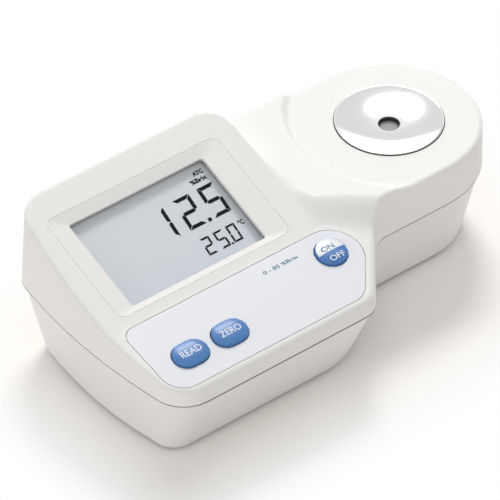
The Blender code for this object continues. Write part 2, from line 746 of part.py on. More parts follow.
def make_top_housing():
    shell = upper_form("top_housing", 0, 0, RIM_FILLET, UPPER_LOW, 0, "shell")
    cut(shell, upper_form("top_hollow", WALL, ROOF_DROP, HOLLOW_FILLET, PARTING_Z - OVERRUN, -WALL))
    # Bosses for the housing screws, with a web from the far left one to the far wall
    for i, (x, y) in enumerate(HOUSING_SCREWS):
        foot = circle(x, y, POST_RADIUS, SCREW_STEPS)
        if (x, y) == WEBBED_SCREW:
            roof = at_height(foot, UPPER_LOW + BOSS_REACH)
        elif x > WELL_X:
            roof = at_height(foot, SEAT_BOTTOM + SEAT_THICK / 2)
        elif x > PANEL_RIGHT_X:
            roof = at_height(foot, NECK_TOP_Z - WALL / 2)
        else:
            roof = [(px, py, panel_height(py) - WALL / 2) for px, py in foot]
        join(shell, loft(f"boss_{i}", [at_height(foot, UPPER_LOW), roof]))
    x, y = WEBBED_SCREW
    web = rectangle(x - WEB_THICK / 2, x + WEB_THICK / 2, y, DEPTH / 2 - LEAN_FAR)
    join(shell, extrusion("boss_web", web, UPPER_LOW, UPPER_LOW + BOSS_REACH - OVERRUN))
    # The ring that the sample well sits in, and its two small bosses
    ring_high = PLATFORM_Z - WALL / 2
    join(shell, cylinder("well_ring", WELL_X, WELL_Y, SEAT_RADIUS, SEAT_BOTTOM, ring_high, WELL_STEPS))
    for side in (-1, 1):
        y = WELL_Y + side * (OPTICS_WIDTH / 2 + EAR_SCREW_REACH)
        join(shell, cylinder(f"ear_boss_{side}", WELL_X, y, SMALL_BOSS_RADIUS, OPTICS_TOP + CLEARANCE,
                             SEAT_BOTTOM + SEAT_THICK / 2, SCREW_STEPS))
    for i, x in enumerate(main_screws()):
        join(shell, cylinder(f"main_boss_{i}", x, MAIN_SCREW_RISE, SMALL_BOSS_RADIUS, MAIN_TOP + CLEARANCE, -WALL / 2,
                             SCREW_STEPS, matrix=SLOPE_FRAME))
    for i, x in enumerate(KEYPAD_SCREW_X):
        join(shell, cylinder(f"keypad_boss_{i}", x, on_facet(KEYPAD_SCREW_Y), SMALL_BOSS_RADIUS,
                             KEYPAD_TOP + CLEARANCE, -FACET_WALL + WALL / 2, SCREW_STEPS, matrix=FACET_FRAME))
    # Openings
    cut(shell, *screw_holes(), *display_cutters(), *keypad_cutters())
    bore = [(0, WELL_TOP + OVERRUN), (WELL_RADIUS + CLEARANCE, WELL_TOP + OVERRUN),
            (WELL_RADIUS + CLEARANCE, SEAT_TOP), (WELL_TUBE_RADIUS + CLEARANCE, SEAT_TOP),
            (WELL_TUBE_RADIUS + CLEARANCE, SEAT_BOTTOM - OVERRUN), (0, SEAT_BOTTOM - OVERRUN)]
    cut(shell, turned("well_bore", bore, WELL_X, WELL_Y, WELL_STEPS))


def main_screws():
    reach = MAIN_HALF - MAIN_SCREW_INSET
    return (WINDOW_X - reach, WINDOW_X + reach)


def screw_holes():
    """Pilot holes in the upper shell's bosses."""
    cutters = []
    top = HEAD_SEAT + SCREW_LENGTH + OVERRUN
    for i, (x, y) in enumerate(HOUSING_SCREWS):
        cutters.append(cylinder(f"pilot_{i}", x, y, SCREW_RADIUS + CLEARANCE, UPPER_LOW - OVERRUN, top, SCREW_STEPS))
    small = SMALL_SCREW_RADIUS + CLEARANCE
    for i, x in enumerate(main_screws()):
        top = MAIN_BOTTOM + SMALL_SCREW_LENGTH + CLEARANCE
        cutters.append(cylinder(f"main_pilot_{i}", x, MAIN_SCREW_RISE, small, MAIN_TOP - OVERRUN, top, SCREW_STEPS,
                                matrix=SLOPE_FRAME))
    for i, x in enumerate(KEYPAD_SCREW_X):
        top = KEYPAD_BOTTOM + SMALL_SCREW_LENGTH + CLEARANCE
        cutters.append(cylinder(f"keypad_pilot_{i}", x, on_facet(KEYPAD_SCREW_Y), small, KEYPAD_TOP - OVERRUN, top,
                                SCREW_STEPS, matrix=FACET_FRAME))
    for side in (-1, 1):
        y = WELL_Y + side * (OPTICS_WIDTH / 2 + EAR_SCREW_REACH)
        top = OPTICS_TOP - EAR_THICK + SMALL_SCREW_LENGTH + CLEARANCE
        cutters.append(cylinder(f"ear_pilot_{side}", WELL_X, y, small, OPTICS_TOP - OVERRUN, top, SCREW_STEPS))
    return cutters


def window_outline(grow, radius):
    return rounded_rectangle(WINDOW_X - WINDOW_HALF - grow, WINDOW_X + WINDOW_HALF + grow,
                             -WINDOW_RISE - grow, WINDOW_RISE + grow, radius)


def display_cutters():
    """The sloping surround and the opening under it, in the panel's frame."""
    share = 1 + OVERRUN / SURROUND_DEPTH
    rise = math.cos(PANEL_ANGLE)
    outer = rounded_rectangle(WINDOW_LEFT - SURROUND_LEFT * share, WINDOW_RIGHT + SURROUND_RIGHT * share,
                              -WINDOW_RISE - SURROUND_NEAR / rise * share, WINDOW_RISE + SURROUND_FAR / rise * share,
                              SURROUND_CORNER)
    floor = window_outline(0, WINDOW_CORNER)
    surround = loft("surround_cut", [at_height(floor, -SURROUND_DEPTH), at_height(outer, OVERRUN)],
                    matrix=SLOPE_FRAME)
    opening = extrusion("window_cut", floor, -WALL - OVERRUN, 0, matrix=SLOPE_FRAME)
    return surround, opening


def overlay_outline(grow):
    """The keypad overlay's outline on the facet, in the facet's frame."""
    ahead = Vector((math.cos(ELBOW_ANGLE), math.sin(ELBOW_ANGLE)))
    inset = LEAN_ELBOW + RIM_FILLET + OVERLAY_EDGE
    side = Vector((ELBOW_X, -DEPTH / 2)) + Vector((-ahead.y, ahead.x)) * inset
    low = side + ahead * (OVERLAY_NEAR - side.y) / ahead.y
    high = side + ahead * (OVERLAY_FAR - side.y) / ahead.y
    corners = [(OVERLAY_LEFT, OVERLAY_NEAR), tuple(low), tuple(high), (OVERLAY_LEFT, OVERLAY_FAR)]
    radii = [OVERLAY_CORNER, OVERLAY_CORNER, OVERLAY_END_CORNER, OVERLAY_FAR_CORNER]
    points = [Vector((x, on_facet(y))) for x, y in rounded(corners, radii, OVERLAY_STEPS)]
    return grown(points, grow)


def grown(points, grow):
    """A closed anticlockwise outline pushed out by this much."""
    made = []
    for i, point in enumerate(points):
        along = (points[(i + 1) % len(points)] - points[i - 1]).normalized()
        made.append((point.x + along.y * grow, point.y - along.x * grow))
    return made


def keys():
    """Name, centre and half lengths of each key, in the facet's frame."""
    half_width = KEY_WIDTH / 2
    straight = KEY_LENGTH / 2 - half_width
    power = POWER_DIAMETER / 2
    return (("read", READ_X, on_facet(KEY_ROW_Y), straight, half_width),
            ("zero", ZERO_X, on_facet(KEY_ROW_Y), straight, half_width),
            ("power", POWER_X, on_facet(POWER_Y), 0, power))


def key_outline(x, y, straight, radius):
    """A stadium lying along X, or a circle where it has no straight part."""
    points = []
    for side in (1, -1):
        for k in range(KEY_STEPS + (1 if straight else 0)):
            turn = math.pi * (k / KEY_STEPS - 1 / 2)
            points.append((x + side * (straight + radius * math.cos(turn)), y + side * radius * math.sin(turn)))
    return points


def keypad_cutters():
    pocket = extrusion("overlay_pocket", overlay_outline(CLEARANCE), OVERLAY_BOTTOM - CLEARANCE, OVERRUN,
                       matrix=FACET_FRAME)
    cutters = [pocket]
    for name, x, y, straight, radius in keys():
        hole = key_outline(x, y, straight, radius + CLEARANCE)
        cutters.append(extrusion(f"{name}_hole", hole, -FACET_WALL - OVERRUN, OVERRUN, matrix=FACET_FRAME))
    return cutters


# Display


def make_display():
    pane = window_outline(PANE_LAP, WINDOW_CORNER)
    extrusion("lcd_window", pane, PANE_TOP - PANE_THICK, PANE_TOP, "clear", SLOPE_FRAME)
    glass = window_outline(LCD_LAP, WINDOW_CORNER)
    extrusion("lcd_glass", glass, LCD_BOTTOM, LCD_TOP, "display", SLOPE_FRAME)
    low = LCD_BOTTOM - CLEARANCE - FRAME_LIP_THICK
    outer = window_outline(PANE_LAP + CLEARANCE + FRAME_WALL, WINDOW_CORNER)
    frame = extrusion("lcd_frame", outer, low, PANE_TOP, "black_plastic", SLOPE_FRAME)
    well = extrusion("frame_well", window_outline(PANE_LAP + CLEARANCE, WINDOW_CORNER),
                     LCD_BOTTOM - CLEARANCE, PANE_TOP + OVERRUN, matrix=SLOPE_FRAME)
    back = extrusion("frame_back", window_outline(LCD_LAP - FRAME_LIP, WINDOW_CORNER),
                     low - OVERRUN, PANE_TOP, matrix=SLOPE_FRAME)
    cut(frame, well, back)
    edge = -WINDOW_RISE - LCD_LAP + FRAME_LIP + CLEARANCE
    strip = rectangle(WINDOW_LEFT + STRIP_END, WINDOW_RIGHT - STRIP_END, edge, edge + STRIP_WIDTH)
    extrusion("lcd_contact_strip", strip, LCD_BOTTOM - CLEARANCE - STRIP_HEIGHT, LCD_BOTTOM - CLEARANCE,
              "rubber", SLOPE_FRAME)


def make_main_board():
    outline = rectangle(WINDOW_X - MAIN_HALF, WINDOW_X + MAIN_HALF, -MAIN_NEAR, MAIN_FAR)
    board = extrusion("main_board", outline, MAIN_BOTTOM, MAIN_TOP, "board", SLOPE_FRAME)
    for i, x in enumerate(main_screws()):
        cut(board, cylinder(f"main_hole_{i}", x, MAIN_SCREW_RISE, SMALL_SCREW_RADIUS + CLEARANCE, MAIN_BOTTOM - OVERRUN,
                            MAIN_TOP + OVERRUN, SCREW_STEPS, matrix=SLOPE_FRAME))
        screw(f"main_board_screw_{i + 1}", x, MAIN_SCREW_RISE, MAIN_BOTTOM, SMALL_SCREW_RADIUS, SMALL_HEAD_RADIUS, SMALL_HEAD,
              SMALL_SCREW_LENGTH, SLOPE_FRAME)
    x = WINDOW_X - CHIP_SHIFT
    chip = rectangle(x - CHIP_SIDE / 2, x + CHIP_SIDE / 2, -CHIP_SIDE / 2, CHIP_SIDE / 2)
    extrusion("processor_chip", chip, MAIN_BOTTOM - CLEARANCE - CHIP_THICK, MAIN_BOTTOM - CLEARANCE, "chip",
              SLOPE_FRAME)


# Keypad


def make_keypad():
    overlay = extrusion("keypad_overlay", overlay_outline(0), OVERLAY_BOTTOM, 0, "overlay", FACET_FRAME)
    left, right = READ_X - SWITCH_EDGE, POWER_X + SWITCH_EDGE
    near = on_facet(KEY_ROW_Y) - SWITCH_EDGE - SWITCH_SIDE / 2
    far, power_far = on_facet(KEY_ROW_Y) + SWITCH_EDGE + CLEARANCE, on_facet(POWER_Y) + SWITCH_EDGE
    power_near = on_facet(POWER_Y) - SWITCH_EDGE
    outline = [(left, near), (KEYPAD_SCREW_X[1] + SMALL_BOSS_RADIUS, near), (right, power_near), (right, power_far),
               (right - 3 * SWITCH_EDGE, power_far), (right - 4 * SWITCH_EDGE, far), (left, far)]
    board = extrusion("keypad_board", outline, KEYPAD_BOTTOM, KEYPAD_TOP, "board", FACET_FRAME)
    for i, x in enumerate(KEYPAD_SCREW_X):
        y = on_facet(KEYPAD_SCREW_Y)
        cut(board, cylinder(f"keypad_screw_hole_{i}", x, y, SMALL_SCREW_RADIUS + CLEARANCE, KEYPAD_BOTTOM - OVERRUN,
                            KEYPAD_TOP + OVERRUN, SCREW_STEPS, matrix=FACET_FRAME))
        screw(f"keypad_board_screw_{i + 1}", x, y, KEYPAD_BOTTOM, SMALL_SCREW_RADIUS, SMALL_HEAD_RADIUS, SMALL_HEAD,
              SMALL_SCREW_LENGTH, FACET_FRAME)
    for name, x, y, straight, radius in keys():
        cut(overlay, extrusion(f"{name}_window", key_outline(x, y, straight, radius + CLEARANCE),
                               OVERLAY_BOTTOM - OVERRUN, OVERRUN, matrix=FACET_FRAME))
        make_key(name, x, y, straight, radius)
        half = SWITCH_SIDE / 2
        base = SWITCH_TOP - SWITCH_HEIGHT
        switch = extrusion(f"{name}_switch", rectangle(x - half, x + half, y - half, y + half), base, SWITCH_TOP,
                           "black_plastic", FACET_FRAME)
        floor = STEM_BOTTOM - KEY_TRAVEL - CLEARANCE
        cut(switch, cylinder(f"{name}_plunger_bore", x, y, KEY_STEM_RADIUS + CLEARANCE, floor, SWITCH_TOP + OVERRUN,
                             SCREW_STEPS, matrix=FACET_FRAME))


def make_key(name, x, y, straight, radius):
    """A crowned cap that rises through the overlay, a flange that keeps it in, and a stem on its switch."""
    frame = FACET_FRAME @ Matrix.Translation((x, y, 0))
    levels = [(KEY_FLANGE, FLANGE_BOTTOM), (KEY_FLANGE, FLANGE_TOP), (0, FLANGE_TOP), (0, KEY_PROUD - KEY_EDGE),
              (-KEY_EDGE / 3, KEY_PROUD - KEY_EDGE / 3), (-KEY_EDGE, KEY_PROUD),
              (-KEY_CROWN_INSET, KEY_PROUD + KEY_CROWN / 2), (-2 * KEY_CROWN_INSET, KEY_PROUD + KEY_CROWN)]
    loops = [at_height(key_outline(0, 0, straight, radius + grow), z) for grow, z in levels]
    key = loft(f"{name}_key", loops, "key", frame)
    join(key, cylinder(f"{name}_stem", 0, 0, KEY_STEM_RADIUS, STEM_BOTTOM, FLANGE_BOTTOM + KEY_FLANGE_THICK / 2,
                       SCREW_STEPS, matrix=frame))


# Sample well and optics


def make_well():
    """A steel cup with a shallow polished dish and a tube below that holds the prism."""
    dish_radius = WELL_RADIUS - WELL_RIM_WIDTH
    profile = [(PRISM_RADIUS, FLOOR_Z)]
    for k in range(DISH_STEPS + 1):
        share = k / DISH_STEPS
        profile.append((PRISM_RADIUS + (dish_radius - PRISM_RADIUS) * share, HOLE_Z + WELL_DEPTH * share * share))
    profile += [(WELL_RADIUS - WELL_RIM_EDGE, WELL_TOP), (WELL_RADIUS, WELL_TOP - WELL_RIM_EDGE),
                (WELL_RADIUS, WELL_TOP - WELL_SEAT), (WELL_TUBE_RADIUS, WELL_TOP - WELL_SEAT),
                (WELL_TUBE_RADIUS, TUBE_BOTTOM), (tube_bore(), TUBE_BOTTOM), (tube_bore(), FLOOR_Z)]
    loops = [at_height(circle(WELL_X, WELL_Y, radius, WELL_STEPS), z) for radius, z in profile]
    well = band("sample_well", loops, "steel")
    probe_y = WELL_Y + (WELL_TUBE_RADIUS + tube_bore()) / 2
    probe_high = TUBE_BOTTOM + THERMISTOR_LENGTH
    cut(well, cylinder("probe_bore", WELL_X, probe_y, THERMISTOR_RADIUS + CLEARANCE, TUBE_BOTTOM - OVERRUN,
                       probe_high + CLEARANCE, SCREW_STEPS))
    bead = [(0, TUBE_BOTTOM), (THERMISTOR_RADIUS, TUBE_BOTTOM), (THERMISTOR_RADIUS, probe_high - THERMISTOR_RADIUS),
            (THERMISTOR_RADIUS / 2, probe_high), (0, probe_high)]
    turned("thermistor", bead, WELL_X, probe_y, SCREW_STEPS, "black_plastic")


def tube_bore():
    return math.hypot(PRISM_LENGTH, PRISM_WIDTH) / 2 + CLEARANCE


def make_prism():
    """A glass wedge whose round nose shows in the well's hole."""
    half, foot, side = PRISM_LENGTH / 2, PRISM_FOOT_LENGTH / 2, PRISM_WIDTH / 2
    low = SHOULDER_Z - PRISM_HEIGHT
    loops = [at_height(rectangle(WELL_X - foot, WELL_X + foot, WELL_Y - side, WELL_Y + side), low),
             at_height(rectangle(WELL_X - half, WELL_X + half, WELL_Y - side, WELL_Y + side), SHOULDER_Z)]
    glass = loft("prism", loops, "glass")
    join(glass, cylinder("prism_nose", WELL_X, WELL_Y, PRISM_RADIUS - CLEARANCE, SHOULDER_Z - GASKET_THICK,
                         HOLE_Z - PRISM_RECESS, WELL_STEPS))
    inner = PRISM_RADIUS
    tube("prism_gasket", WELL_X, WELL_Y, inner, min(inner + GASKET_WIDTH, tube_bore() - CLEARANCE),
         SHOULDER_Z + CLEARANCE, FLOOR_Z - CLEARANCE, WELL_STEPS, "seal")


def along_x(y, z):
    """A frame whose z axis runs along the row's X, at this y and z."""
    return Matrix.Translation((0, y, z)) @ Matrix.Rotation(math.pi / 2, 4, "Y")


def make_optics():
    """The black block under the well, with the lamp and lens on one side and the image sensor on the other."""
    side = OPTICS_WIDTH / 2
    block = extrusion("optical_block", rectangle(OPTICS_LEFT, OPTICS_RIGHT, WELL_Y - side, WELL_Y + side),
                      OPTICS_BOTTOM, OPTICS_TOP, "black_plastic")
    reach, half = side + EAR_REACH, EAR_WIDTH / 2
    ears = extrusion("ears", rectangle(WELL_X - half, WELL_X + half, WELL_Y - reach, WELL_Y + reach),
                     OPTICS_TOP - EAR_THICK, OPTICS_TOP)
    join(block, ears)
    width = PRISM_WIDTH / 2 + CLEARANCE
    pocket = extrusion("prism_pocket",
                       rectangle(WELL_X - POCKET_HALF, WELL_X + POCKET_HALF, WELL_Y - width, WELL_Y + width),
                       OPTICS_BOTTOM + OPTICS_FLOOR, OPTICS_TOP + OVERRUN)
    light = along_x(WELL_Y, LIGHT_Z)
    lens_seat = OPTICS_LEFT - LAMP_OUT + LAMP_LENGTH + CLEARANCE
    pocket_left, pocket_right = WELL_X - POCKET_HALF, WELL_X + POCKET_HALF
    lamp_bore = cylinder("lamp_bore", 0, 0, LAMP_RADIUS + CLEARANCE, OPTICS_LEFT - OVERRUN, pocket_left + OVERRUN,
                         SCREW_STEPS, matrix=light)
    lens_bore = cylinder("lens_bore", 0, 0, LENS_RADIUS + CLEARANCE, lens_seat, pocket_left + OVERRUN,
                         SCREW_STEPS, matrix=light)
    aperture = cylinder("aperture", 0, 0, APERTURE_RADIUS, pocket_right - OVERRUN, OPTICS_RIGHT + OVERRUN,
                        SCREW_STEPS, matrix=light)
    recess = SENSOR_THICK + CLEARANCE
    slot = rectangle(-SENSOR_HEIGHT / 2 - CLEARANCE, SENSOR_HEIGHT / 2 + CLEARANCE,
                     -SENSOR_LENGTH / 2 - CLEARANCE, SENSOR_LENGTH / 2 + CLEARANCE)
    sensor_slot = extrusion("sensor_slot", slot, OPTICS_RIGHT - recess, OPTICS_RIGHT + OVERRUN, matrix=light)
    cut(block, pocket, lamp_bore, lens_bore, aperture, sensor_slot)
    lamp_low = OPTICS_LEFT - LAMP_OUT
    lamp_high = lamp_low + LAMP_LENGTH
    lamp = [(0, lamp_low), (LAMP_RADIUS, lamp_low), (LAMP_RADIUS, lamp_high - LAMP_RADIUS),
            (LAMP_RADIUS * math.sqrt(3) / 2, lamp_high - LAMP_RADIUS / 2), (0, lamp_high)]
    turned("lamp", lamp, 0, 0, SCREW_STEPS, "lamp", light)
    lens_low = lens_seat + CLEARANCE
    lens = [(0, lens_low), (LENS_RADIUS, lens_low + LENS_SAG), (LENS_RADIUS, lens_low + LENS_THICK - LENS_SAG),
            (0, lens_low + LENS_THICK)]
    turned("lens", lens, 0, 0, SCREW_STEPS, "glass", light)
    chip = rectangle(-SENSOR_HEIGHT / 2, SENSOR_HEIGHT / 2, -SENSOR_LENGTH / 2, SENSOR_LENGTH / 2)
    extrusion("image_sensor", chip, OPTICS_RIGHT - SENSOR_THICK, OPTICS_RIGHT, "chip", light)
    board = rectangle(-SENSOR_BOARD_HEIGHT / 2, SENSOR_BOARD_HEIGHT / 2,
                      -SENSOR_BOARD_WIDTH / 2, SENSOR_BOARD_WIDTH / 2)
    extrusion("sensor_board", board, OPTICS_RIGHT + CLEARANCE, OPTICS_RIGHT + CLEARANCE + BOARD_THICK, "board", light)
    seat = OPTICS_TOP - EAR_THICK
    for i, side in enumerate((-1, 1)):
        y = WELL_Y + side * (OPTICS_WIDTH / 2 + EAR_SCREW_REACH)
        cut(block, cylinder(f"ear_hole_{side}", WELL_X, y, SMALL_SCREW_RADIUS + CLEARANCE, seat - OVERRUN,
                            OPTICS_TOP + OVERRUN, SCREW_STEPS))
        screw(f"optical_block_screw_{i + 1}", WELL_X, y, seat, SMALL_SCREW_RADIUS, SMALL_HEAD_RADIUS, SMALL_HEAD,
              SMALL_SCREW_LENGTH)


def make_sensor_cable():
    """A flat cable under the optical block and the neck, from the sensor board up to the main board."""
    low = OPTICS_BOTTOM - CLEARANCE - CABLE_THICK
    start_x = OPTICS_RIGHT + CLEARANCE + BOARD_THICK / 2
    board_low = LIGHT_Z - SENSOR_BOARD_HEIGHT / 2 - CLEARANCE
    place = SLOPE_FRAME @ Vector((0, 0, MAIN_BOTTOM - CLEARANCE))
    end_y = WELL_Y
    end_z = place.z + (end_y - place.y) * PANEL_SLOPE
    end_x = WINDOW_X + MAIN_HALF - CABLE_WIDTH / 2
    rise_x = end_x + CABLE_BEND * 4
    # Centre line in X and Z, with the roll about X that turns it to the board's slope
    path = [(start_x, board_low, 0), (start_x, low - CABLE_BEND / 2, 0), (start_x - CABLE_BEND / 4, low - CABLE_BEND, 0),
            (start_x - CABLE_BEND, low - CABLE_BEND, 0), (rise_x + CABLE_BEND * 2, low - CABLE_BEND, 0),
            (rise_x, low, 0), (rise_x - CABLE_BEND, (low + end_z) / 2, 1 / 2),
            (rise_x - 2 * CABLE_BEND, end_z - CABLE_BEND / 2, 1), (end_x + CABLE_BEND / 2, end_z - CABLE_THICK / 2, 1),
            (end_x - CABLE_BEND / 2, end_z - CABLE_THICK / 2, 1)]
    loops = []
    for i, (x, z, roll) in enumerate(path):
        before, after = path[max(i - 1, 0)], path[min(i + 1, len(path) - 1)]
        along = Vector((after[0] - before[0], 0, after[1] - before[1])).normalized()
        normal = Vector((-along.z, 0, along.x)) * CABLE_THICK / 2
        angle = PANEL_ANGLE * roll
        wide = Vector((0, math.cos(angle), math.sin(angle))) * CABLE_WIDTH / 2
        centre = Vector((x, end_y, z))
        loops.append([centre - wide - normal, centre + wide - normal, centre + wide + normal, centre - wide + normal])
    loft("sensor_cable", loops, "cable")


# Lower shell


def lower_outline(share, draw):
    """Outline at this share of the way from the parting to the base, drawn in further by an amount."""
    sides = (BASE_LEFT, BASE_NEAR, BASE_ELBOW, BASE_NECK, BASE_FAR)
    insets = [PARTING_STEP + (side - PARTING_STEP) * share + draw for side in sides]
    return housing_outline(*insets, bend_more=BASE_BEND * share)[0]


def lower_form(name, inset, low, fillet, high, finish=None):
    loops = []
    for k in range(BASE_STEPS + 1):
        turn = math.pi / 2 * k / BASE_STEPS
        z = low + fillet * (1 - math.cos(turn))
        share = min((PARTING_Z - z) / (PARTING_Z - FOOT_PROUD - BASE_FILLET), 1)
        loops.append(at_height(lower_outline(share, inset + fillet * (1 - math.sin(turn))), z))
    loops.append(at_height(lower_outline(0, inset), high))
    return loft(name, loops, finish)


def sector(radius, centre, half):
    """A pie slice about the bay's axis."""
    steps = 6
    turns = [centre + half * (2 * k / steps - 1) for k in range(steps + 1)]
    arc = [(BAY_X + radius * math.cos(turn), BAY_Y + radius * math.sin(turn)) for turn in turns]
    return [(BAY_X, BAY_Y), *arc]


def lug_turns():
    return [2 * math.pi * i / LUG_COUNT for i in range(LUG_COUNT)]


def make_bottom_housing():
    shell = lower_form("bottom_housing", 0, FOOT_PROUD, BASE_FILLET, LOWER_HIGH, "shell")
    cut(shell, lower_form("bottom_hollow", WALL, FOOT_PROUD + FLOOR, BASE_FILLET - WALL, PARTING_Z + OVERRUN))
    # The battery bay: a cup that opens downward, with a ledge for the cover's lugs
    outer = BAY_RADIUS + BAY_WALL
    cup = cylinder("bay_cup", BAY_X, BAY_Y, outer, FOOT_PROUD + FLOOR / 2, CEILING_HIGH, BAY_STEPS)
    collar = cylinder("bay_collar", BAY_X, BAY_Y, COVER_RADIUS + CLEARANCE + BAY_WALL, FOOT_PROUD + FLOOR / 2,
                      LEDGE_HIGH, BAY_STEPS)
    join(shell, cup, collar)
    for i, (x, y) in enumerate(HOUSING_SCREWS):
        join(shell, cylinder(f"post_{i}", x, y, POST_RADIUS, FOOT_PROUD + FLOOR / 2, LOWER_HIGH, SCREW_STEPS))
    recess = cylinder("cover_recess", BAY_X, BAY_Y, COVER_RADIUS + CLEARANCE, FOOT_PROUD - OVERRUN, LEDGE_LOW,
                      BAY_STEPS)
    mouth = cylinder("bay_mouth", BAY_X, BAY_Y, SKIRT_RADIUS + CLEARANCE, LEDGE_LOW - OVERRUN, LEDGE_HIGH + OVERRUN,
                     BAY_STEPS)
    bay = cylinder("bay_room", BAY_X, BAY_Y, BAY_RADIUS, LEDGE_HIGH, CEILING_LOW, BAY_STEPS)
    cut(shell, recess, mouth, bay)
    for i, turn in enumerate(lug_turns()):
        notch = sector(NOTCH_RADIUS, turn - COVER_TURN, LUG_ANGLE / 2 + LUG_PLAY)
        cut(shell, extrusion(f"lug_notch_{i}", notch, LEDGE_LOW - OVERRUN, LEDGE_HIGH + OVERRUN))
    for i, y in enumerate(lead_rows()):
        cut(shell, cylinder(f"lead_hole_{i}", lead_x(), y, 2 * LEAD_RADIUS, CEILING_LOW - OVERRUN,
                            CEILING_HIGH + OVERRUN, SCREW_STEPS))
    for i, (x, y) in enumerate(HOUSING_SCREWS):
        hole = [(0, LOWER_HIGH + OVERRUN), (SCREW_RADIUS + CLEARANCE, LOWER_HIGH + OVERRUN),
                (SCREW_RADIUS + CLEARANCE, HEAD_SEAT), (SCREW_HEAD_RADIUS + CLEARANCE, HEAD_SEAT),
                (SCREW_HEAD_RADIUS + CLEARANCE, FOOT_PROUD - OVERRUN), (0, FOOT_PROUD - OVERRUN)]
        cut(shell, turned(f"screw_hole_{i}", hole, x, y, SCREW_STEPS))
        screw(f"housing_screw_{i + 1}", x, y, HEAD_SEAT, SCREW_RADIUS, SCREW_HEAD_RADIUS, SCREW_HEAD, SCREW_LENGTH)
    for i, (x, y) in enumerate(FEET):
        seat = FOOT_THICK + CLEARANCE
        cut(shell, cylinder(f"foot_recess_{i}", x, y, FOOT_RADIUS + CLEARANCE, FOOT_PROUD - OVERRUN, seat,
                            SCREW_STEPS))
        foot = [(0, 0), (FOOT_RADIUS - FOOT_EDGE, 0), (FOOT_RADIUS, FOOT_EDGE), (FOOT_RADIUS, FOOT_THICK),
                (0, FOOT_THICK)]
        turned(f"rubber_foot_{i + 1}", foot, x, y, SCREW_STEPS, "rubber")
    cut(shell, seal_form("seal_groove", CLEARANCE, LOWER_HIGH + OVERRUN))
    seal_form("housing_seal", 0, LOWER_HIGH, "seal")


def seal_form(name, grow, high, finish=None):
    """The gasket in the lower shell's rim, or its groove."""
    middle = (WALL - PARTING_STEP) / 2 + CLEARANCE
    outer = lower_outline(0, middle - SEAL_WIDTH / 2 - grow)
    inner = lower_outline(0, middle + SEAL_WIDTH / 2 + grow)
    low = LOWER_HIGH - SEAL_HEIGHT - grow
    return band(name, [at_height(inner, low), at_height(outer, low), at_height(outer, high), at_height(inner, high)],
                finish)


def lead_x():
    return SNAP_LEFT + SNAP_THICK / 2


def lead_rows():
    return (BAY_Y - LEAD_SPACING / 2, BAY_Y + LEAD_SPACING / 2)


def make_battery_cover():
    """A round cover with a grip bar outside, and a skirt with three bayonet lugs inside."""
    axis = bpy.data.objects.new("battery_cover_axis", None)
    axis.location = (BAY_X, BAY_Y, 0)
    bpy.context.scene.collection.objects.link(axis)
    bpy.context.view_layer.update()
    cover = cylinder("battery_cover", BAY_X, BAY_Y, COVER_RADIUS, COVER_LOW, FLANGE_HIGH, BAY_STEPS, "shell")
    skirt = tube("skirt", BAY_X, BAY_Y, SKIRT_RADIUS - SKIRT_WALL, SKIRT_RADIUS, FLANGE_HIGH - COVER_THICK / 2,
                 SKIRT_HIGH, BAY_STEPS)
    join(cover, skirt)
    for i, turn in enumerate(lug_turns()):
        lug = extrusion(f"lug_{i}", sector(SKIRT_RADIUS + LUG_REACH, turn, LUG_ANGLE / 2), LUG_LOW, SKIRT_HIGH)
        cut(lug, cylinder(f"lug_inside_{i}", BAY_X, BAY_Y, SKIRT_RADIUS - SKIRT_WALL / 2, LUG_LOW - OVERRUN,
                          SKIRT_HIGH + OVERRUN, BAY_STEPS))
        join(cover, lug)
    for side in (-1, 1):
        flat = math.asin(GRIP_BAR / 2 / GRIP_RADIUS)
        steps = BAY_STEPS // 4
        turns = [flat + (math.pi - 2 * flat) * k / steps for k in range(steps + 1)]
        half = [(BAY_X + GRIP_RADIUS * math.cos(turn), BAY_Y + side * GRIP_RADIUS * math.sin(turn)) for turn in turns]
        cut(cover, extrusion(f"grip_{side}", half[::side], COVER_LOW - OVERRUN, COVER_LOW + GRIP_DEPTH))
    outer = COVER_SEAL_RADIUS + COVER_SEAL_WIDTH
    groove = tube("cover_seal_groove", BAY_X, BAY_Y, COVER_SEAL_RADIUS - CLEARANCE, outer + CLEARANCE,
                  FLANGE_HIGH - COVER_SEAL_HEIGHT - CLEARANCE, FLANGE_HIGH + OVERRUN, BAY_STEPS)
    cut(cover, groove)
    seal = tube("battery_cover_seal", BAY_X, BAY_Y, COVER_SEAL_RADIUS, outer, FLANGE_HIGH - COVER_SEAL_HEIGHT,
                FLANGE_HIGH, BAY_STEPS, "seal")
    for obj in (cover, seal):
        obj.parent = axis
        obj.matrix_parent_inverse = axis.matrix_world.inverted()


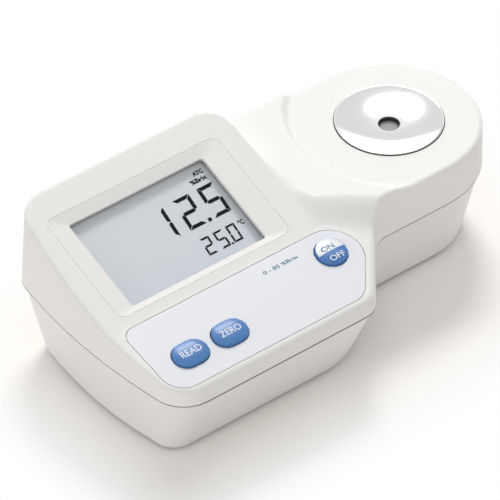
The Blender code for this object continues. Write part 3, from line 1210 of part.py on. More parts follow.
def make_battery():
    """A standard 9 V block lying flat, its snap connector, and the two leads up to the main board."""
    half = BATTERY_WIDTH / 2
    middle = BATTERY_LOW + BATTERY_HEIGHT / 2
    section = rounded_rectangle(-BATTERY_HEIGHT / 2, BATTERY_HEIGHT / 2, -half, half, BATTERY_CORNER)
    extrusion("battery", section, BATTERY_LEFT, BATTERY_RIGHT, "battery", along_x(BAY_Y, middle))
    snap = rounded_rectangle(-SNAP_HEIGHT / 2, SNAP_HEIGHT / 2, -SNAP_WIDTH / 2, SNAP_WIDTH / 2, BATTERY_CORNER)
    extrusion("battery_snap", snap, SNAP_LEFT, SNAP_LEFT + SNAP_THICK, "black_plastic", along_x(BAY_Y, middle))
    low = middle + SNAP_HEIGHT / 2 + CLEARANCE
    board = SLOPE_FRAME @ Vector((0, 0, MAIN_BOTTOM))
    for name, y in zip(("red", "black"), lead_rows()):
        high = board.z + (y - LEAD_RADIUS - board.y) * PANEL_SLOPE - CLEARANCE / math.cos(PANEL_ANGLE)
        curve = bpy.data.curves.new(f"battery_lead_{name}", "CURVE")
        curve.dimensions = "3D"
        curve.bevel_depth = LEAD_RADIUS
        curve.bevel_resolution = 1
        curve.use_fill_caps = True
        spline = curve.splines.new("POLY")
        steps = 16
        spline.points.add(steps)
        span = high - CEILING_HIGH
        for k, point in enumerate(spline.points):
            z = low + (high - low) * k / steps
            share = min(max((z - CEILING_HIGH) / span, 0), 1)
            point.co = (lead_x() + LEAD_BOW * math.sin(math.pi * share) ** 2, y, z, 1)
        curve.materials.append(material(f"{name}_wire"))
        obj = bpy.data.objects.new(f"battery_lead_{name}", curve)
        bpy.context.scene.collection.objects.link(obj)


clear_scene()
make_top_housing()
make_display()
make_main_board()
make_keypad()
make_well()
make_prism()
make_optics()
make_sensor_cable()
make_bottom_housing()
make_battery_cover()
make_battery()
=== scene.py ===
"""Digital refractometer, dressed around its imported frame: studio, camera and the finish of every piece."""

import json
import math

import bmesh
import bpy
from mathutils import Matrix, Vector

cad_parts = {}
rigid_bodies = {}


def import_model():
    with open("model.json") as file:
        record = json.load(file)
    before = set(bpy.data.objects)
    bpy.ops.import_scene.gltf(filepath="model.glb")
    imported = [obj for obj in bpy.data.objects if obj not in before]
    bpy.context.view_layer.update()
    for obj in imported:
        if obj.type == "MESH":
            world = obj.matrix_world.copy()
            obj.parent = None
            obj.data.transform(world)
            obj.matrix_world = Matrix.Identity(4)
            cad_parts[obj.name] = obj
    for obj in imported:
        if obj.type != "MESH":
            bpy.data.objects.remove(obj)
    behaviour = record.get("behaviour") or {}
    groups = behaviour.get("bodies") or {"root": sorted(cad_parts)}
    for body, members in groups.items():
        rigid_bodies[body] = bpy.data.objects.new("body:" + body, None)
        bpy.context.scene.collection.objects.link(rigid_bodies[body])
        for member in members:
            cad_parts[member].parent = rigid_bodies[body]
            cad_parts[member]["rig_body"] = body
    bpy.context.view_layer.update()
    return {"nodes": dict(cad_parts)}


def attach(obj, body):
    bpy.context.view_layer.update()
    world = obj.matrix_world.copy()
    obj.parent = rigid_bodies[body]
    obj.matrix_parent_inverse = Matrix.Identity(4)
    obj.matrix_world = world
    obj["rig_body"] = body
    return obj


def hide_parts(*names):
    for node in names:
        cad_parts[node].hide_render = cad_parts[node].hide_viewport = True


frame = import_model()
nodes = frame["nodes"]
scene = bpy.context.scene


# The camera stands off the display's near left corner and looks down at it
# through a long lens, at the photograph's angle.

CAMERA_AZIMUTH = math.radians(-38.81)
CAMERA_ELEVATION = math.radians(40.39)
CAMERA_ROLL = math.radians(0.15)
CAMERA_DISTANCE = 2.299
CAMERA_LENS = 444.02
LOOK_AT = Vector((-0.00905, 0.01223, 0.025))


def towards(azimuth, elevation):
    """The direction from the object to a place at this azimuth and elevation."""
    level = math.cos(elevation)
    return Vector((math.sin(azimuth) * level, -math.cos(azimuth) * level, math.sin(elevation)))


back = towards(CAMERA_AZIMUTH, CAMERA_ELEVATION)
right = Vector((0, 0, 1)).cross(back).normalized()
up = back.cross(right)
rolled = Matrix((right, up, back)).transposed() @ Matrix.Rotation(CAMERA_ROLL, 3, "Z")
camera_data = bpy.data.cameras.new("camera")
camera_data.lens = CAMERA_LENS
camera_data.clip_start = 0.1
camera_data.clip_end = 50.0
camera = bpy.data.objects.new("camera", camera_data)
camera.matrix_world = Matrix.Translation(LOOK_AT + back * CAMERA_DISTANCE) @ rolled.to_4x4()
scene.collection.objects.link(camera)
scene.camera = camera
scene.view_settings.view_transform = "Standard"


# A round softbox beyond the well lights the tops, a low wide strip behind it gives
# the steel its bright band, and two faint fills lift the display end and the front.

SOFTBOXES = {
    # name: shape, azimuth and elevation in degrees, distance, width, height, power, colour
    "key_softbox": ("DISK", 141.2, 52.5, 1.5, 0.50, 0.50, 9.9, (1.0, 0.995, 0.985)),
    "low_strip": ("RECTANGLE", 141.2, 15.0, 1.6, 3.4, 0.66, 7.5, (1.0, 1.0, 1.0)),
    "left_fill": ("RECTANGLE", -85, 12, 1.8, 1.0, 0.8, 4.4, (1.0, 0.99, 0.97)),
    "front_fill": ("RECTANGLE", -38.8, 62, 1.6, 1.0, 1.0, 4.4, (1.0, 0.98, 0.95)),
}

for name, (outline, azimuth, elevation, distance, width, height, power, colour) in SOFTBOXES.items():
    lamp_data = bpy.data.lights.new(name, "AREA")
    lamp_data.shape = outline
    lamp_data.size, lamp_data.size_y = width, height
    lamp_data.energy = power
    lamp_data.color = colour
    softbox = bpy.data.objects.new(name, lamp_data)
    way = towards(math.radians(azimuth), math.radians(elevation))
    softbox.location = way * distance
    softbox.rotation_euler = way.to_track_quat("Z", "Y").to_euler()
    softbox.visible_camera = False
    scene.collection.objects.link(softbox)


class Wire:
    """A socket in a finish's nodes. A sum written on it adds Math nodes."""

    def __init__(self, finish, socket):
        self.finish, self.socket = finish, socket

    def maths(self, operation, *values):
        return self.finish.node("ShaderNodeMath", {"operation": operation}, values)

    def __add__(self, other):
        return self.maths("ADD", self, other)

    def __sub__(self, other):
        return self.maths("SUBTRACT", self, other)

    def __rsub__(self, other):
        return self.maths("SUBTRACT", other, self)

    def __mul__(self, other):
        return self.maths("MULTIPLY", self, other)

    def __truediv__(self, other):
        return self.maths("DIVIDE", self, other)

    __radd__ = __add__
    __rmul__ = __mul__

    def size(self):
        return self.maths("ABSOLUTE", self)

    def most(self, other):
        return self.maths("MAXIMUM", self, other)

    def above(self, other):
        return self.maths("GREATER_THAN", self, other)

    def root(self):
        return self.maths("SQRT", self)

    def fraction(self):
        return self.maths("FRACT", self)

    def held(self):
        """The value kept between 0 and 1."""
        limited = self.maths("ADD", self, 0.0)
        limited.socket.node.use_clamp = True
        return limited


class Finish:
    """A material with one Principled shader, and the nodes that vary it."""

    def __init__(self, name, colour, roughness, metallic=0.0, **fixed):
        self.material = bpy.data.materials.new(name)
        self.material.use_nodes = True
        self.tree = self.material.node_tree
        self.shader = self.tree.nodes["Principled BSDF"]
        self.set(Base_Color=colour, Roughness=roughness, Metallic=metallic, **fixed)

    def set(self, **values):
        for label, value in values.items():
            self.feed(self.shader.inputs[label.replace("_", " ")], value)

    def feed(self, socket, value):
        if isinstance(value, Wire):
            self.tree.links.new(value.socket, socket)
        elif isinstance(value, tuple) and len(value) < len(socket.default_value):
            socket.default_value = (*value, 1.0)
        else:
            socket.default_value = value

    def node(self, kind, settings=None, inputs=(), output=0):
        made = self.tree.nodes.new(kind)
        for setting, value in (settings or {}).items():
            if setting == "stops":
                for spare in list(made.color_ramp.elements)[1:]:
                    made.color_ramp.elements.remove(spare)
                made.color_ramp.elements[0].position, made.color_ramp.elements[0].color = value[0]
                for position, colour in value[1:]:
                    made.color_ramp.elements.new(position).color = colour
            else:
                setattr(made, setting, value)
        for key, value in inputs.items() if isinstance(inputs, dict) else enumerate(inputs):
            self.feed(made.inputs[key], value)
        return Wire(self, made.outputs[output])

    def place(self):
        return self.node("ShaderNodeTexCoord", output="Object")

    def axes(self):
        """The three coordinates in metres."""
        parts = self.node("ShaderNodeSeparateXYZ", inputs=[self.place()]).socket.node
        return [Wire(self, output) for output in parts.outputs]

    def noise(self, size, detail=2.0):
        """A mottle from 0 to 1 whose patches are about this long."""
        return self.node("ShaderNodeTexNoise",
                         inputs={"Vector": self.place(), "Scale": 1 / size, "Detail": detail}, output="Fac")

    def mixed(self, share, one, two):
        return self.node("ShaderNodeMix", {"data_type": "RGBA"}, {0: share, 6: one, 7: two}, output=2)

    def bumped(self, height, depth):
        values = {"Height": height, "Distance": depth, "Strength": 1.0}
        self.set(Normal=self.node("ShaderNodeBump", inputs=values))

    def paint(self, *objects):
        for obj in objects:
            obj.data.materials.clear()
            obj.data.materials.append(self.material)


# The bench is a seamless white sweep. Near the object it takes the soft shadow,
# and further off it is plain white to the camera and in reflections.

FLOOR_HALF = 6.0
FLOOR_COLOUR = (0.99, 0.965, 0.935)
FOOTPRINT_X, FOOTPRINT_Y = 0.090, 0.046
WHITE_TO = 0.042
WORLD_LIGHT = 0.41

floor_mesh = bpy.data.meshes.new("bench")
floor_mesh.from_pydata([(-FLOOR_HALF, -FLOOR_HALF, 0), (FLOOR_HALF, -FLOOR_HALF, 0),
                        (FLOOR_HALF, FLOOR_HALF, 0), (-FLOOR_HALF, FLOOR_HALF, 0)], [], [(0, 1, 2, 3)])
floor = bpy.data.objects.new("bench", floor_mesh)
scene.collection.objects.link(floor)
bench = Finish("white_bench", FLOOR_COLOUR, 0.9, Specular_IOR_Level=0.0)
bench.paint(floor)
ray = bench.node("ShaderNodeLightPath", output="Is Camera Ray").socket.node
seen = (Wire(bench, ray.outputs["Is Camera Ray"]) + Wire(bench, ray.outputs["Is Glossy Ray"])
        + Wire(bench, ray.outputs["Is Transmission Ray"])).held()
bench_x, bench_y, _ = bench.axes()
out_x, out_y = (bench_x.size() - FOOTPRINT_X).most(0.0), (bench_y.size() - FOOTPRINT_Y).most(0.0)
away = ((out_x * out_x + out_y * out_y).root() / WHITE_TO).held()
glow = bench.node("ShaderNodeEmission", inputs={"Color": (1.0, 1.0, 1.0), "Strength": 1.0})
shaded = Wire(bench, bench.shader.outputs[0])
swept = bench.node("ShaderNodeMixShader", inputs={0: seen * away, 1: shaded, 2: glow})
bench.feed(bench.tree.nodes["Material Output"].inputs["Surface"], swept)

world = bpy.data.worlds.new("studio")
scene.world = world
world.use_nodes = True
sky = world.node_tree.nodes
path = sky.new("ShaderNodeLightPath")
first_sum, shown = sky.new("ShaderNodeMath"), sky.new("ShaderNodeMath")
shown.use_clamp = True
level = sky.new("ShaderNodeMapRange")
level.inputs["To Min"].default_value = WORLD_LIGHT
join = world.node_tree.links.new
join(path.outputs["Is Camera Ray"], first_sum.inputs[0])
join(path.outputs["Is Glossy Ray"], first_sum.inputs[1])
join(first_sum.outputs[0], shown.inputs[0])
join(path.outputs["Is Transmission Ray"], shown.inputs[1])
join(shown.outputs[0], level.inputs["Value"])
join(level.outputs[0], sky["Background"].inputs["Strength"])
sky["Background"].inputs["Color"].default_value = (1.0, 1.0, 1.0, 1.0)


# The two halves of the housing are injection moulded in warm white ABS with a
# fine spark-eroded grain, and five screws from below hold them together.

SHELL_COLOUR = (0.895, 0.885, 0.862)
SHELL_SHADE = (0.870, 0.860, 0.835)
# The seam's dark colour is painted shade, standing in for the shadow in the joint between the halves.
SEAM_Z = 0.0327
SEAM_PAINTED_SHADE = (0.16, 0.15, 0.13)
GRAIN = 0.00035
GRAIN_DEPTH = 0.000012
WELD = 1e-6
SOFT_EDGE = 0.00012
EDGE_ANGLE = math.radians(38)
FLAT_ANGLE = math.radians(0.02)


def moulded_plastic(name, colour, shade):
    finish = Finish(name, colour, 0.46, Specular_IOR_Level=0.24)
    cloud = finish.noise(0.03, 3.0)
    finish.set(Base_Color=finish.mixed(cloud, colour, shade), Roughness=0.42 + finish.noise(0.004) * 0.12)
    finish.bumped(finish.noise(GRAIN, 3.0), GRAIN_DEPTH)
    return finish


def made_from(node, name, finish, edge=SOFT_EDGE, cutter=None, crisp=None):
    """A piece with a node's own form, welded, shaded smooth and with its sharp edges eased."""
    shape = bmesh.new()
    shape.from_mesh(nodes[node].data)
    bmesh.ops.remove_doubles(shape, verts=shape.verts, dist=WELD)
    flat = [e for e in shape.edges if len(e.link_faces) == 2 and e.calc_face_angle(0) < FLAT_ANGLE]
    bmesh.ops.dissolve_edges(shape, edges=flat, use_verts=False, use_face_split=False)
    mesh = bpy.data.meshes.new(name)
    shape.to_mesh(mesh)
    shape.free()
    piece = bpy.data.objects.new(name, mesh)
    scene.collection.objects.link(piece)
    if cutter:
        groove = piece.modifiers.new("groove", "BOOLEAN")
        groove.object = cutter
        groove.solver = "EXACT"
        bpy.context.view_layer.update()
        mesh = bpy.data.meshes.new_from_object(piece.evaluated_get(bpy.context.evaluated_depsgraph_get()))
        piece.modifiers.clear()
        piece.data = mesh
        bpy.data.objects.remove(cutter)
    mesh.shade_smooth()
    mesh.set_sharp_from_angle(angle=EDGE_ANGLE)
    if crisp:
        for edge_line in mesh.edges:
            ends = [mesh.vertices[i].co for i in edge_line.vertices]
            edge_line.use_edge_sharp = edge_line.use_edge_sharp or crisp(*ends)
    if edge:
        ease = piece.modifiers.new("eased edges", "BEVEL")
        ease.width = edge
        ease.segments = 2
        ease.limit_method = "ANGLE"
        ease.angle_limit = EDGE_ANGLE
    shading = piece.modifiers.new("flat faces stay flat", "WEIGHTED_NORMAL")
    shading.keep_sharp = True
    finish.paint(piece)
    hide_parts(node)
    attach(piece, nodes[node]["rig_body"])
    return piece


shell = moulded_plastic("housing_plastic", SHELL_COLOUR, SHELL_SHADE)
made_from("bottom_housing", "lower_half", shell, 0)

# The display's sloping surround starts at a fine moulded groove. The lowest third
# of a millimetre of the upper half is coloured dark: painted shade for the seam's shadow line.

PANEL_SLOPE = 0.355
PANEL_ANGLE = math.atan(PANEL_SLOPE)
PANEL_Y, PANEL_Z = 0.0125, 0.0550365
SLOPE_FRAME = Matrix.Translation((0, PANEL_Y, PANEL_Z)) @ Matrix.Rotation(PANEL_ANGLE, 4, "X")
SURROUND_LEFT, SURROUND_RIGHT = -0.0864, -0.0065
SURROUND_NEAR, SURROUND_FAR = -0.02313, 0.02515
SURROUND_CORNER = 0.0036
SURROUND_STEPS = 8
GROOVE_HALF, GROOVE_DEPTH = 0.00022, 0.00030


def rounded_box(left, right, near, far, radius, steps):
    """Points round a rectangle with rounded corners, each with its outward direction."""
    points = []
    for corner, (x, y) in enumerate(((right, far), (left, far), (left, near), (right, near))):
        side_x, side_y = (-1, 1)[x == right], (-1, 1)[y == far]
        centre = Vector((x - side_x * radius, y - side_y * radius))
        for k in range(steps + 1):
            turn = math.pi / 2 * (corner + k / steps)
            way = Vector((math.cos(turn), math.sin(turn)))
            points.append((centre + way * radius, way))
    return points


def surround_groove():
    """A thin wedge that follows the surround's outline."""
    shape = bmesh.new()
    rings = []
    for place, way in rounded_box(SURROUND_LEFT, SURROUND_RIGHT, SURROUND_NEAR, SURROUND_FAR, SURROUND_CORNER,
                                  SURROUND_STEPS):
        inner, outer = place - way * GROOVE_HALF, place + way * GROOVE_HALF
        rings.append([shape.verts.new((*inner, GROOVE_DEPTH)), shape.verts.new((*outer, GROOVE_DEPTH)),
                      shape.verts.new((*place, -GROOVE_DEPTH))])
    for i, one in enumerate(rings):
        two = rings[(i + 1) % len(rings)]
        for k in range(3):
            j = (k + 1) % 3
            shape.faces.new((one[k], one[j], two[j], two[k]))
    bmesh.ops.recalc_face_normals(shape, faces=shape.faces)
    mesh = bpy.data.meshes.new("surround_groove")
    shape.to_mesh(mesh)
    shape.free()
    mesh.transform(SLOPE_FRAME)
    cutter = bpy.data.objects.new("surround_groove", mesh)
    scene.collection.objects.link(cutter)
    return cutter


to_slope = SLOPE_FRAME.inverted()


def on_surround(*ends):
    """Whether an edge lies along the groove."""
    for end in ends:
        x, y, z = to_slope @ end
        centre_x, centre_y = (SURROUND_LEFT + SURROUND_RIGHT) / 2, (SURROUND_NEAR + SURROUND_FAR) / 2
        over_x = abs(x - centre_x) - (SURROUND_RIGHT - SURROUND_LEFT) / 2 + SURROUND_CORNER
        over_y = abs(y - centre_y) - (SURROUND_FAR - SURROUND_NEAR) / 2 + SURROUND_CORNER
        away = math.hypot(max(over_x, 0), max(over_y, 0)) + min(max(over_x, over_y), 0) - SURROUND_CORNER
        if abs(away) > 2 * GROOVE_HALF or abs(z) > 2 * GROOVE_DEPTH:
            return False
    return True


upper = moulded_plastic("upper_half_plastic", SHELL_COLOUR, SHELL_SHADE)
_, _, half_z = upper.axes()
# Painted shade: below SEAM_Z the upper half takes the seam's dark colour.
above_seam = half_z.above(SEAM_Z)
upper.set(Base_Color=upper.mixed(above_seam, SEAM_PAINTED_SHADE, SHELL_COLOUR))
made_from("top_housing", "upper_half", upper, SOFT_EDGE, surround_groove(), on_surround)


# The housing seal is a soft grey gasket pressed into the lower half's rim.

seal = Finish("grey_gasket", (0.20, 0.20, 0.21), 0.7)
seal.set(Roughness=0.62 + seal.noise(0.002) * 0.2)
seal.paint(nodes["housing_seal"])


# The display window is a clear acrylic pane, bonded under the opening.

pane = Finish("clear_acrylic", (0.20, 0.21, 0.22), 0.03, IOR=1.49, Specular_IOR_Level=0.10)
pane.set(Alpha=0.02 + pane.noise(0.02) * 0.01)
pane.paint(nodes["lcd_window"])


# The display glass shows dark slanted segments on a grey reflective field. The
# segments stand a hair above the field, as the liquid crystal does.

FIELD_Z = -0.0047
SEGMENT_THICK = 0.00006
SLANT = 0.09
FIELD_COLOUR = (0.79, 0.83, 0.86)
FIELD_LOW = (0.75, 0.80, 0.87)

field = Finish("display_field", FIELD_COLOUR, 0.35, Specular_IOR_Level=0.1)
across, along, _ = field.axes()
drift = ((0.03 - along) / 0.05 + field.noise(0.012) * 0.2).held()
field.set(Base_Color=field.mixed(drift, FIELD_COLOUR, FIELD_LOW))
field.bumped(field.noise(0.0003, 2.0), 0.000004)
field.paint(nodes["lcd_glass"])

ink = Finish("display_segments", (0.010, 0.011, 0.012), 0.5, Specular_IOR_Level=0.0)
ink.set(Base_Color=ink.mixed(ink.noise(0.002), (0.008, 0.009, 0.010), (0.014, 0.015, 0.017)))


def flat_shapes(name, outlines, thick, matrix, finish, body):
    """One piece of thin plates, each with the outline given in the matrix's plane."""
    shape = bmesh.new()
    for outline in outlines:
        low = [shape.verts.new((x, y, 0)) for x, y in outline]
        high = [shape.verts.new((x, y, thick)) for x, y in outline]
        shape.faces.new(low[::-1])
        shape.faces.new(high)
        for i in range(len(outline)):
            j = (i + 1) % len(outline)
            shape.faces.new((low[i], low[j], high[j], high[i]))
    bmesh.ops.recalc_face_normals(shape, faces=shape.faces)
    mesh = bpy.data.meshes.new(name)
    shape.to_mesh(mesh)
    shape.free()
    mesh.transform(matrix)
    piece = bpy.data.objects.new(name, mesh)
    scene.collection.objects.link(piece)
    finish.paint(piece)
    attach(piece, body)
    return piece


DIGIT_SEGMENTS = {"0": "abcdef", "1": "bc", "2": "abged", "5": "afgcd"}


def digit(figure, x, y, width, height, stroke, gap):
    """Outlines of a seven-segment figure with mitred bars, leaning to the right."""
    mid, half = height / 2, stroke / 2
    bars = {
        "a": [(gap, height), (width - gap, height), (width - gap - stroke, height - stroke),
              (gap + stroke, height - stroke)],
        "d": [(gap, 0), (gap + stroke, stroke), (width - gap - stroke, stroke), (width - gap, 0)],
        "g": [(gap + half, mid), (gap + stroke, mid + half), (width - gap - stroke, mid + half),
              (width - gap - half, mid), (width - gap - stroke, mid - half), (gap + stroke, mid - half)],
        "f": [(0, height - gap), (stroke, height - stroke - gap), (stroke, mid + half + gap / 2),
              (half, mid + gap), (0, mid + gap * 2)],
        "e": [(0, gap), (0, mid - gap * 2), (half, mid - gap), (stroke, mid - half - gap / 2),
              (stroke, stroke + gap)],
    }
    for right_bar, left_bar in (("b", "f"), ("c", "e")):
        bars[right_bar] = [(width - px, py) for px, py in bars[left_bar]][::-1]
    return [[(x + px + py * SLANT, y + py) for px, py in bars[bar]] for bar in DIGIT_SEGMENTS[figure]]


def point(x, y, side):
    return [(x, y), (x + side, y), (x + side * (1 + SLANT), y + side), (x + side * SLANT, y + side)]


main_figures = []
for figure, x in (("1", -0.0497), ("2", -0.0374), ("5", -0.0260)):
    main_figures += digit(figure, x, -0.0026, 0.0076, 0.0138, 0.00150, 0.00016)
main_figures.append(point(-0.0289, -0.0028, 0.0015))
small_figures = []
for figure, x in (("2", -0.0378), ("5", -0.0317), ("0", -0.0259)):
    small_figures += digit(figure, x, -0.0150, 0.0040, 0.0076, 0.00078, 0.00009)
small_figures.append(point(-0.0272, -0.0151, 0.0008))
on_field = SLOPE_FRAME @ Matrix.Translation((0, 0, FIELD_Z + SEGMENT_THICK))
flat_shapes("reading_segments", main_figures, SEGMENT_THICK, on_field, ink, "housing")
flat_shapes("temperature_segments", small_figures, SEGMENT_THICK, on_field, ink, "housing")


def lettering(name, words, left, right, low, high, thick, matrix, finish, body, bold):
    """Printed words as thin raised letters that fill this box in the matrix's plane."""
    curve = bpy.data.curves.new(name, "FONT")
    curve.body = words
    curve.offset = bold
    curve.extrude = 0.5
    source = bpy.data.objects.new(name, curve)
    scene.collection.objects.link(source)
    bpy.context.view_layer.update()
    mesh = bpy.data.meshes.new_from_object(source.evaluated_get(bpy.context.evaluated_depsgraph_get()))
    bpy.data.objects.remove(source)
    xs, ys = [v.co.x for v in mesh.vertices], [v.co.y for v in mesh.vertices]
    wide, tall = (right - left) / (max(xs) - min(xs)), (high - low) / (max(ys) - min(ys))
    x_low, y_low = min(xs), min(ys)
    for v in mesh.vertices:
        x, y = left + (v.co.x - x_low) * wide, low + (v.co.y - y_low) * tall
        v.co = (x, y, (v.co.z + 0.5) * thick)
    mesh.transform(matrix)
    mesh.name = name
    piece = bpy.data.objects.new(name, mesh)
    scene.collection.objects.link(piece)
    finish.paint(piece)
    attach(piece, body)
    return piece


for name, words, left, right, low, high, bold in (
    ("atc_sign", "ATC", -0.0221, -0.0175, 0.0162, 0.0181, 0.035),
    ("brix_sign", "%Brix", -0.0250, -0.0176, 0.0133, 0.0153, 0.03),
    ("degree_sign", "°C", -0.0197, -0.0174, -0.0097, -0.0075, 0.03),
):
    lettering(name, words, left, right, low, high, SEGMENT_THICK, on_field, ink, "housing", bold)


# The display frame is black nylon, and the contact strip is banded rubber that
# carries the board's signals to the glass.

frame_black = Finish("black_nylon", (0.03, 0.03, 0.032), 0.5)
frame_black.set(Roughness=0.42 + frame_black.noise(0.001) * 0.2)
frame_black.bumped(frame_black.noise(0.0004), 0.00001)
frame_black.paint(nodes["lcd_frame"])
contact = Finish("zebra_strip", (0.3, 0.3, 0.3), 0.7)
strip_x, _, _ = contact.axes()
STRIPE_PITCH = 0.0002
stripe = (strip_x / STRIPE_PITCH).fraction().above(0.5)
contact.set(Base_Color=contact.mixed(stripe, (0.75, 0.74, 0.72), (0.03, 0.03, 0.03)))
contact.paint(nodes["lcd_contact_strip"])


# The keypad overlay is a bluish white polyester film let into the facet, with
# the range printed in teal.

FACET_SLOPE = 0.21
FACET_ANGLE = math.atan(FACET_SLOPE)
FACET_Y, FACET_Z = -0.0348, 0.0415529
FACET_FRAME = Matrix.Translation((0, FACET_Y, FACET_Z)) @ Matrix.Rotation(FACET_ANGLE, 4, "X")
FILM_COLOUR = (0.805, 0.825, 0.870)
PRINT_THICK = 0.00003

film = Finish("overlay_film", FILM_COLOUR, 0.34, Specular_IOR_Level=0.4)
film.set(Base_Color=film.mixed(film.noise(0.02), FILM_COLOUR, (0.795, 0.815, 0.862)),
         Roughness=0.30 + film.noise(0.003) * 0.1)
film.bumped(film.noise(0.0005, 2.0), 0.000006)
made_from("keypad_overlay", "overlay_film", film, 0.00005)

teal = Finish("teal_print", (0.03, 0.21, 0.30), 0.45)
teal.set(Base_Color=teal.mixed(teal.noise(0.001), (0.018, 0.14, 0.22), (0.026, 0.17, 0.25)))
lettering("range_print", "0 - 85 %Brix", -0.0282, -0.0121, 0.0149, 0.0165, PRINT_THICK, FACET_FRAME, teal,
          "housing", 0.022)


# The keys are moulded in blue and rise through the film. READ and ZERO are
# long, and the round key is half white and half blue.

KEY_BLUE = (0.060, 0.195, 0.50)
KEY_PROUD = 0.0012
KEY_CROWN = 0.0006
WHITE_RADIUS = 0.00575
WHITE_FROM = -0.0004
KEY_CENTRES = {"read": (-0.0744, 0.0), "zero": (-0.0562, 0.0), "power": (-0.0005, 0.010320)}

blue = Finish("blue_key", KEY_BLUE, 0.32)
blue.set(Base_Color=blue.mixed(blue.noise(0.004), KEY_BLUE, (0.070, 0.215, 0.52)))
blue.bumped(blue.noise(0.0004), 0.000006)
white_ink = Finish("white_print", (0.78, 0.83, 0.92), 0.4)
white_ink.set(Roughness=0.36 + white_ink.noise(0.002) * 0.1)
blue_ink = Finish("blue_print", (0.07, 0.18, 0.36), 0.4)
blue_ink.set(Roughness=0.36 + blue_ink.noise(0.002) * 0.1)

two_tone = Finish("half_white_key", KEY_BLUE, 0.32)
key_x, key_y, _ = two_tone.axes()
power_x, power_y = KEY_CENTRES["power"][0], FACET_Y + KEY_CENTRES["power"][1] * math.cos(FACET_ANGLE)
side_x, side_y = key_x - power_x, key_y - power_y
printed = (side_x * side_x + side_y * side_y).root()
white_half = side_y.above(WHITE_FROM) * (WHITE_RADIUS - printed).above(0.0)
two_tone.set(Base_Color=two_tone.mixed(white_half, KEY_BLUE, (0.86, 0.88, 0.92)))
two_tone.bumped(two_tone.noise(0.0004), 0.000006)

for key, finish in (("read", blue), ("zero", blue), ("power", two_tone)):
    made_from(f"{key}_key", f"{key}_key_cap", finish, 0.0001)

key_top = FACET_FRAME @ Matrix.Translation((0, 0, KEY_PROUD + KEY_CROWN))
for key, words, x, y, half_wide, half_tall, finish in (
    ("read", "READ", 0.0, 0.0, 0.0046, 0.00140, white_ink),
    ("zero", "ZERO", 0.0, 0.0, 0.0046, 0.00140, white_ink),
    ("power", "ON", -0.0008, 0.0016, 0.0028, 0.00120, blue_ink),
    ("power", "OFF", 0.0001, -0.0034, 0.0033, 0.00125, white_ink),
):
    centre_x, centre_y = KEY_CENTRES[key]
    x, y = centre_x + x, centre_y + y
    lettering(f"{words.lower()}_print", words, x - half_wide, x + half_wide, y - half_tall, y + half_tall,
              PRINT_THICK, key_top, finish, f"{key}_key", 0.006)


# The boards are covered in green solder mask, and the push switches on the
# keypad's board are black nylon.

board_green = Finish("solder_mask", (0.02, 0.20, 0.08), 0.4)
board_green.set(Base_Color=board_green.mixed(board_green.noise(0.003, 3.0).above(0.52), (0.016, 0.16, 0.06),
                                             (0.03, 0.26, 0.11)))
board_green.bumped(board_green.noise(0.003, 3.0).above(0.52), 0.00002)
for name in ("keypad_board", "main_board", "sensor_board"):
    board_green.paint(nodes[name])
for name in ("read_switch", "zero_switch", "power_switch"):
    frame_black.paint(nodes[name])


# The chips on the boards are moulded in black epoxy.

epoxy = Finish("black_epoxy", (0.03, 0.03, 0.035), 0.4)
epoxy.set(Roughness=0.4 + epoxy.noise(0.0008) * 0.2)
epoxy.bumped(epoxy.noise(0.0003), 0.000008)
epoxy.paint(nodes["processor_chip"], nodes["image_sensor"])


# The sample well is turned in stainless steel and polished, with a shallow dish
# that runs down to the prism.

WELL_X, WELL_Y = 0.0604, 0.0154
WELL_TOP, WELL_DEPTH, WELL_RADIUS = 0.0508, 0.0024, 0.0208
STEEL_COLOUR = (0.70, 0.70, 0.695)

steel = Finish("polished_steel", STEEL_COLOUR, 0.09, 1.0)
well_x, well_y, _ = steel.axes()
ring = ((well_x - WELL_X) * (well_x - WELL_X) + (well_y - WELL_Y) * (well_y - WELL_Y)).root()
turning = steel.node("ShaderNodeTexNoise", {"noise_dimensions": "1D"},
                     {"W": ring, "Scale": 9000.0, "Detail": 3.0}, "Fac")
steel.set(Roughness=0.05 + turning * 0.05 + steel.noise(0.004) * 0.03)
steel.bumped(turning, 0.0000012)

PRISM_RADIUS = 0.0042
TUBE_RADIUS, TUBE_BORE = 0.0125, 0.0085
SEAT_Z, TUBE_LOW, FLOOR_Z = 0.0468, 0.0425, 0.0462
LATHE_STEPS = 144
DISH_STEPS = 40
DISH_MARGIN = 0.0005
RIM_EDGE = 0.0003
RIM_EDGE_STEPS = 6


def lathe(name, profile):
    """A closed ring turned about the well's axis from (radius, height) points."""
    shape = bmesh.new()
    turns = [2 * math.pi * k / LATHE_STEPS for k in range(LATHE_STEPS)]
    rings = []
    for radius, z in profile:
        rings.append([shape.verts.new((WELL_X + radius * math.cos(t), WELL_Y + radius * math.sin(t), z))
                      for t in turns])
    for i, one in enumerate(rings):
        two = rings[(i + 1) % len(rings)]
        for k in range(LATHE_STEPS):
            j = (k + 1) % LATHE_STEPS
            shape.faces.new((one[k], one[j], two[j], two[k]))
    bmesh.ops.recalc_face_normals(shape, faces=shape.faces)
    mesh = bpy.data.meshes.new(name)
    shape.to_mesh(mesh)
    shape.free()
    mesh.shade_smooth()
    mesh.set_sharp_from_angle(angle=EDGE_ANGLE)
    piece = bpy.data.objects.new(name, mesh)
    scene.collection.objects.link(piece)
    return piece


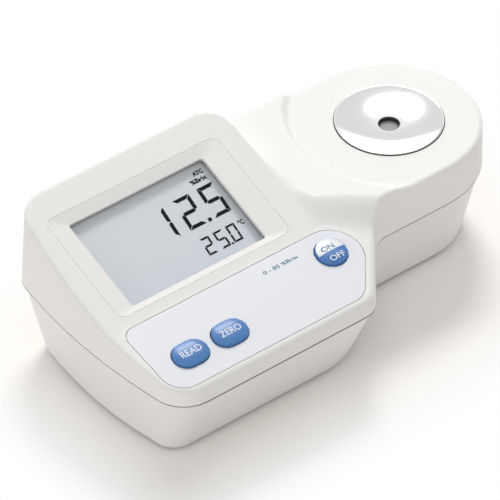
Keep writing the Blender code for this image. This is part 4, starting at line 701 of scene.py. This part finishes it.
dish_radius = WELL_RADIUS - DISH_MARGIN
profile = [(PRISM_RADIUS, FLOOR_Z)]
for k in range(DISH_STEPS + 1):
    share = k / DISH_STEPS
    profile.append((PRISM_RADIUS + (dish_radius - PRISM_RADIUS) * share,
                    WELL_TOP - WELL_DEPTH + WELL_DEPTH * share * share))
for k in range(RIM_EDGE_STEPS + 1):
    turn = math.pi / 2 * k / RIM_EDGE_STEPS
    profile.append((WELL_RADIUS - RIM_EDGE * (1 - math.sin(turn)), WELL_TOP - RIM_EDGE * (1 - math.cos(turn))))
profile += [(WELL_RADIUS, SEAT_Z), (TUBE_RADIUS, SEAT_Z), (TUBE_RADIUS, TUBE_LOW), (TUBE_BORE, TUBE_LOW),
            (TUBE_BORE, FLOOR_Z)]
cup = lathe("steel_well", profile)
steel.paint(cup)
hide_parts("sample_well")
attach(cup, "housing")


# The prism is optical glass, grey where it looks into the dark block below, and
# thin black gaskets seal it and the well's rim.

glass = Finish("prism_glass", (0.38, 0.385, 0.395), 0.10, IOR=1.6)
glass.set(Base_Color=glass.mixed(glass.noise(0.003), (0.34, 0.345, 0.355), (0.42, 0.425, 0.435)))
glass.paint(nodes["prism"], nodes["lens"])
nitrile = Finish("black_nitrile", (0.02, 0.02, 0.02), 0.6)
nitrile.set(Roughness=0.5 + nitrile.noise(0.0008) * 0.2)
nitrile.paint(nodes["prism_gasket"])
PLATFORM_Z = 0.0500
RING_CROWN = 0.00004
for name, inner, outer, low, high in (
    ("hole_lip", PRISM_RADIUS - 0.00025, PRISM_RADIUS - 0.00002, FLOOR_Z, WELL_TOP - WELL_DEPTH - 0.0001),
    ("rim_seal", WELL_RADIUS + 0.00001, WELL_RADIUS + 0.00028, SEAT_Z + 0.0010, PLATFORM_Z + 0.00020),
):
    crest = ((inner + outer) / 2, high + RING_CROWN)
    ring_piece = lathe(name, [(inner, low), (outer, low), (outer, high), crest, (inner, high)])
    nitrile.paint(ring_piece)
    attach(ring_piece, "housing")


# The optical block and the thermistor are black nylon. The lamp is an amber
# diode, and the flat cable is film over copper tracks.

frame_black.paint(nodes["thermistor"], nodes["optical_block"])
amber = Finish("amber_lens", (0.85, 0.55, 0.08), 0.15)
amber.set(Base_Color=amber.mixed(amber.noise(0.002), (0.85, 0.52, 0.06), (0.9, 0.62, 0.14)))
amber.paint(nodes["lamp"])
tracks = Finish("flat_cable", (0.75, 0.73, 0.66), 0.4)
_, cable_y, _ = tracks.axes()
TRACK_PITCH = 0.0010
track = (cable_y / TRACK_PITCH).fraction().above(0.5)
tracks.set(Base_Color=tracks.mixed(track, (0.80, 0.79, 0.74), (0.55, 0.50, 0.42)))
tracks.paint(nodes["sensor_cable"])


# The screws are plain steel pan heads, and the feet are pressed-in rubber pads.

screw_steel = Finish("screw_steel", (0.55, 0.55, 0.56), 0.3, 1.0)
screw_steel.set(Roughness=0.24 + screw_steel.noise(0.0006, 3.0) * 0.2)
screw_steel.bumped(screw_steel.noise(0.0002), 0.000005)
screw_steel.paint(*[obj for name, obj in nodes.items() if "_screw_" in name])
rubber = Finish("black_rubber", (0.04, 0.04, 0.04), 0.75)
rubber.set(Base_Color=rubber.mixed(rubber.noise(0.002), (0.035, 0.035, 0.035), (0.06, 0.06, 0.058)),
           Roughness=0.68 + rubber.noise(0.0006) * 0.2)
rubber.bumped(rubber.noise(0.0004, 3.0), 0.00002)
rubber.paint(*[nodes[f"rubber_foot_{i}"] for i in (1, 2, 3, 4)])


# The round battery cover is moulded as the housing is. It turns on three lugs,
# and a soft ring seals it.

made_from("battery_cover", "battery_cover_moulding", shell)
seal.paint(nodes["battery_cover_seal"])


# The battery is a plain 9 V block in a dark can, with a snap connector and two
# stranded leads up to the board.

can = Finish("dark_can", (0.10, 0.10, 0.11), 0.35, 0.4)
can.set(Roughness=0.3 + can.noise(0.003, 3.0) * 0.15)
can.paint(nodes["battery"])
frame_black.paint(nodes["battery_snap"])
for name, colour in (("red", (0.60, 0.03, 0.02)), ("black", (0.02, 0.02, 0.02))):
    cover = Finish(f"{name}_insulation", colour, 0.45)
    cover.set(Roughness=0.4 + cover.noise(0.001) * 0.15)
    cover.paint(nodes[f"battery_lead_{name}"])
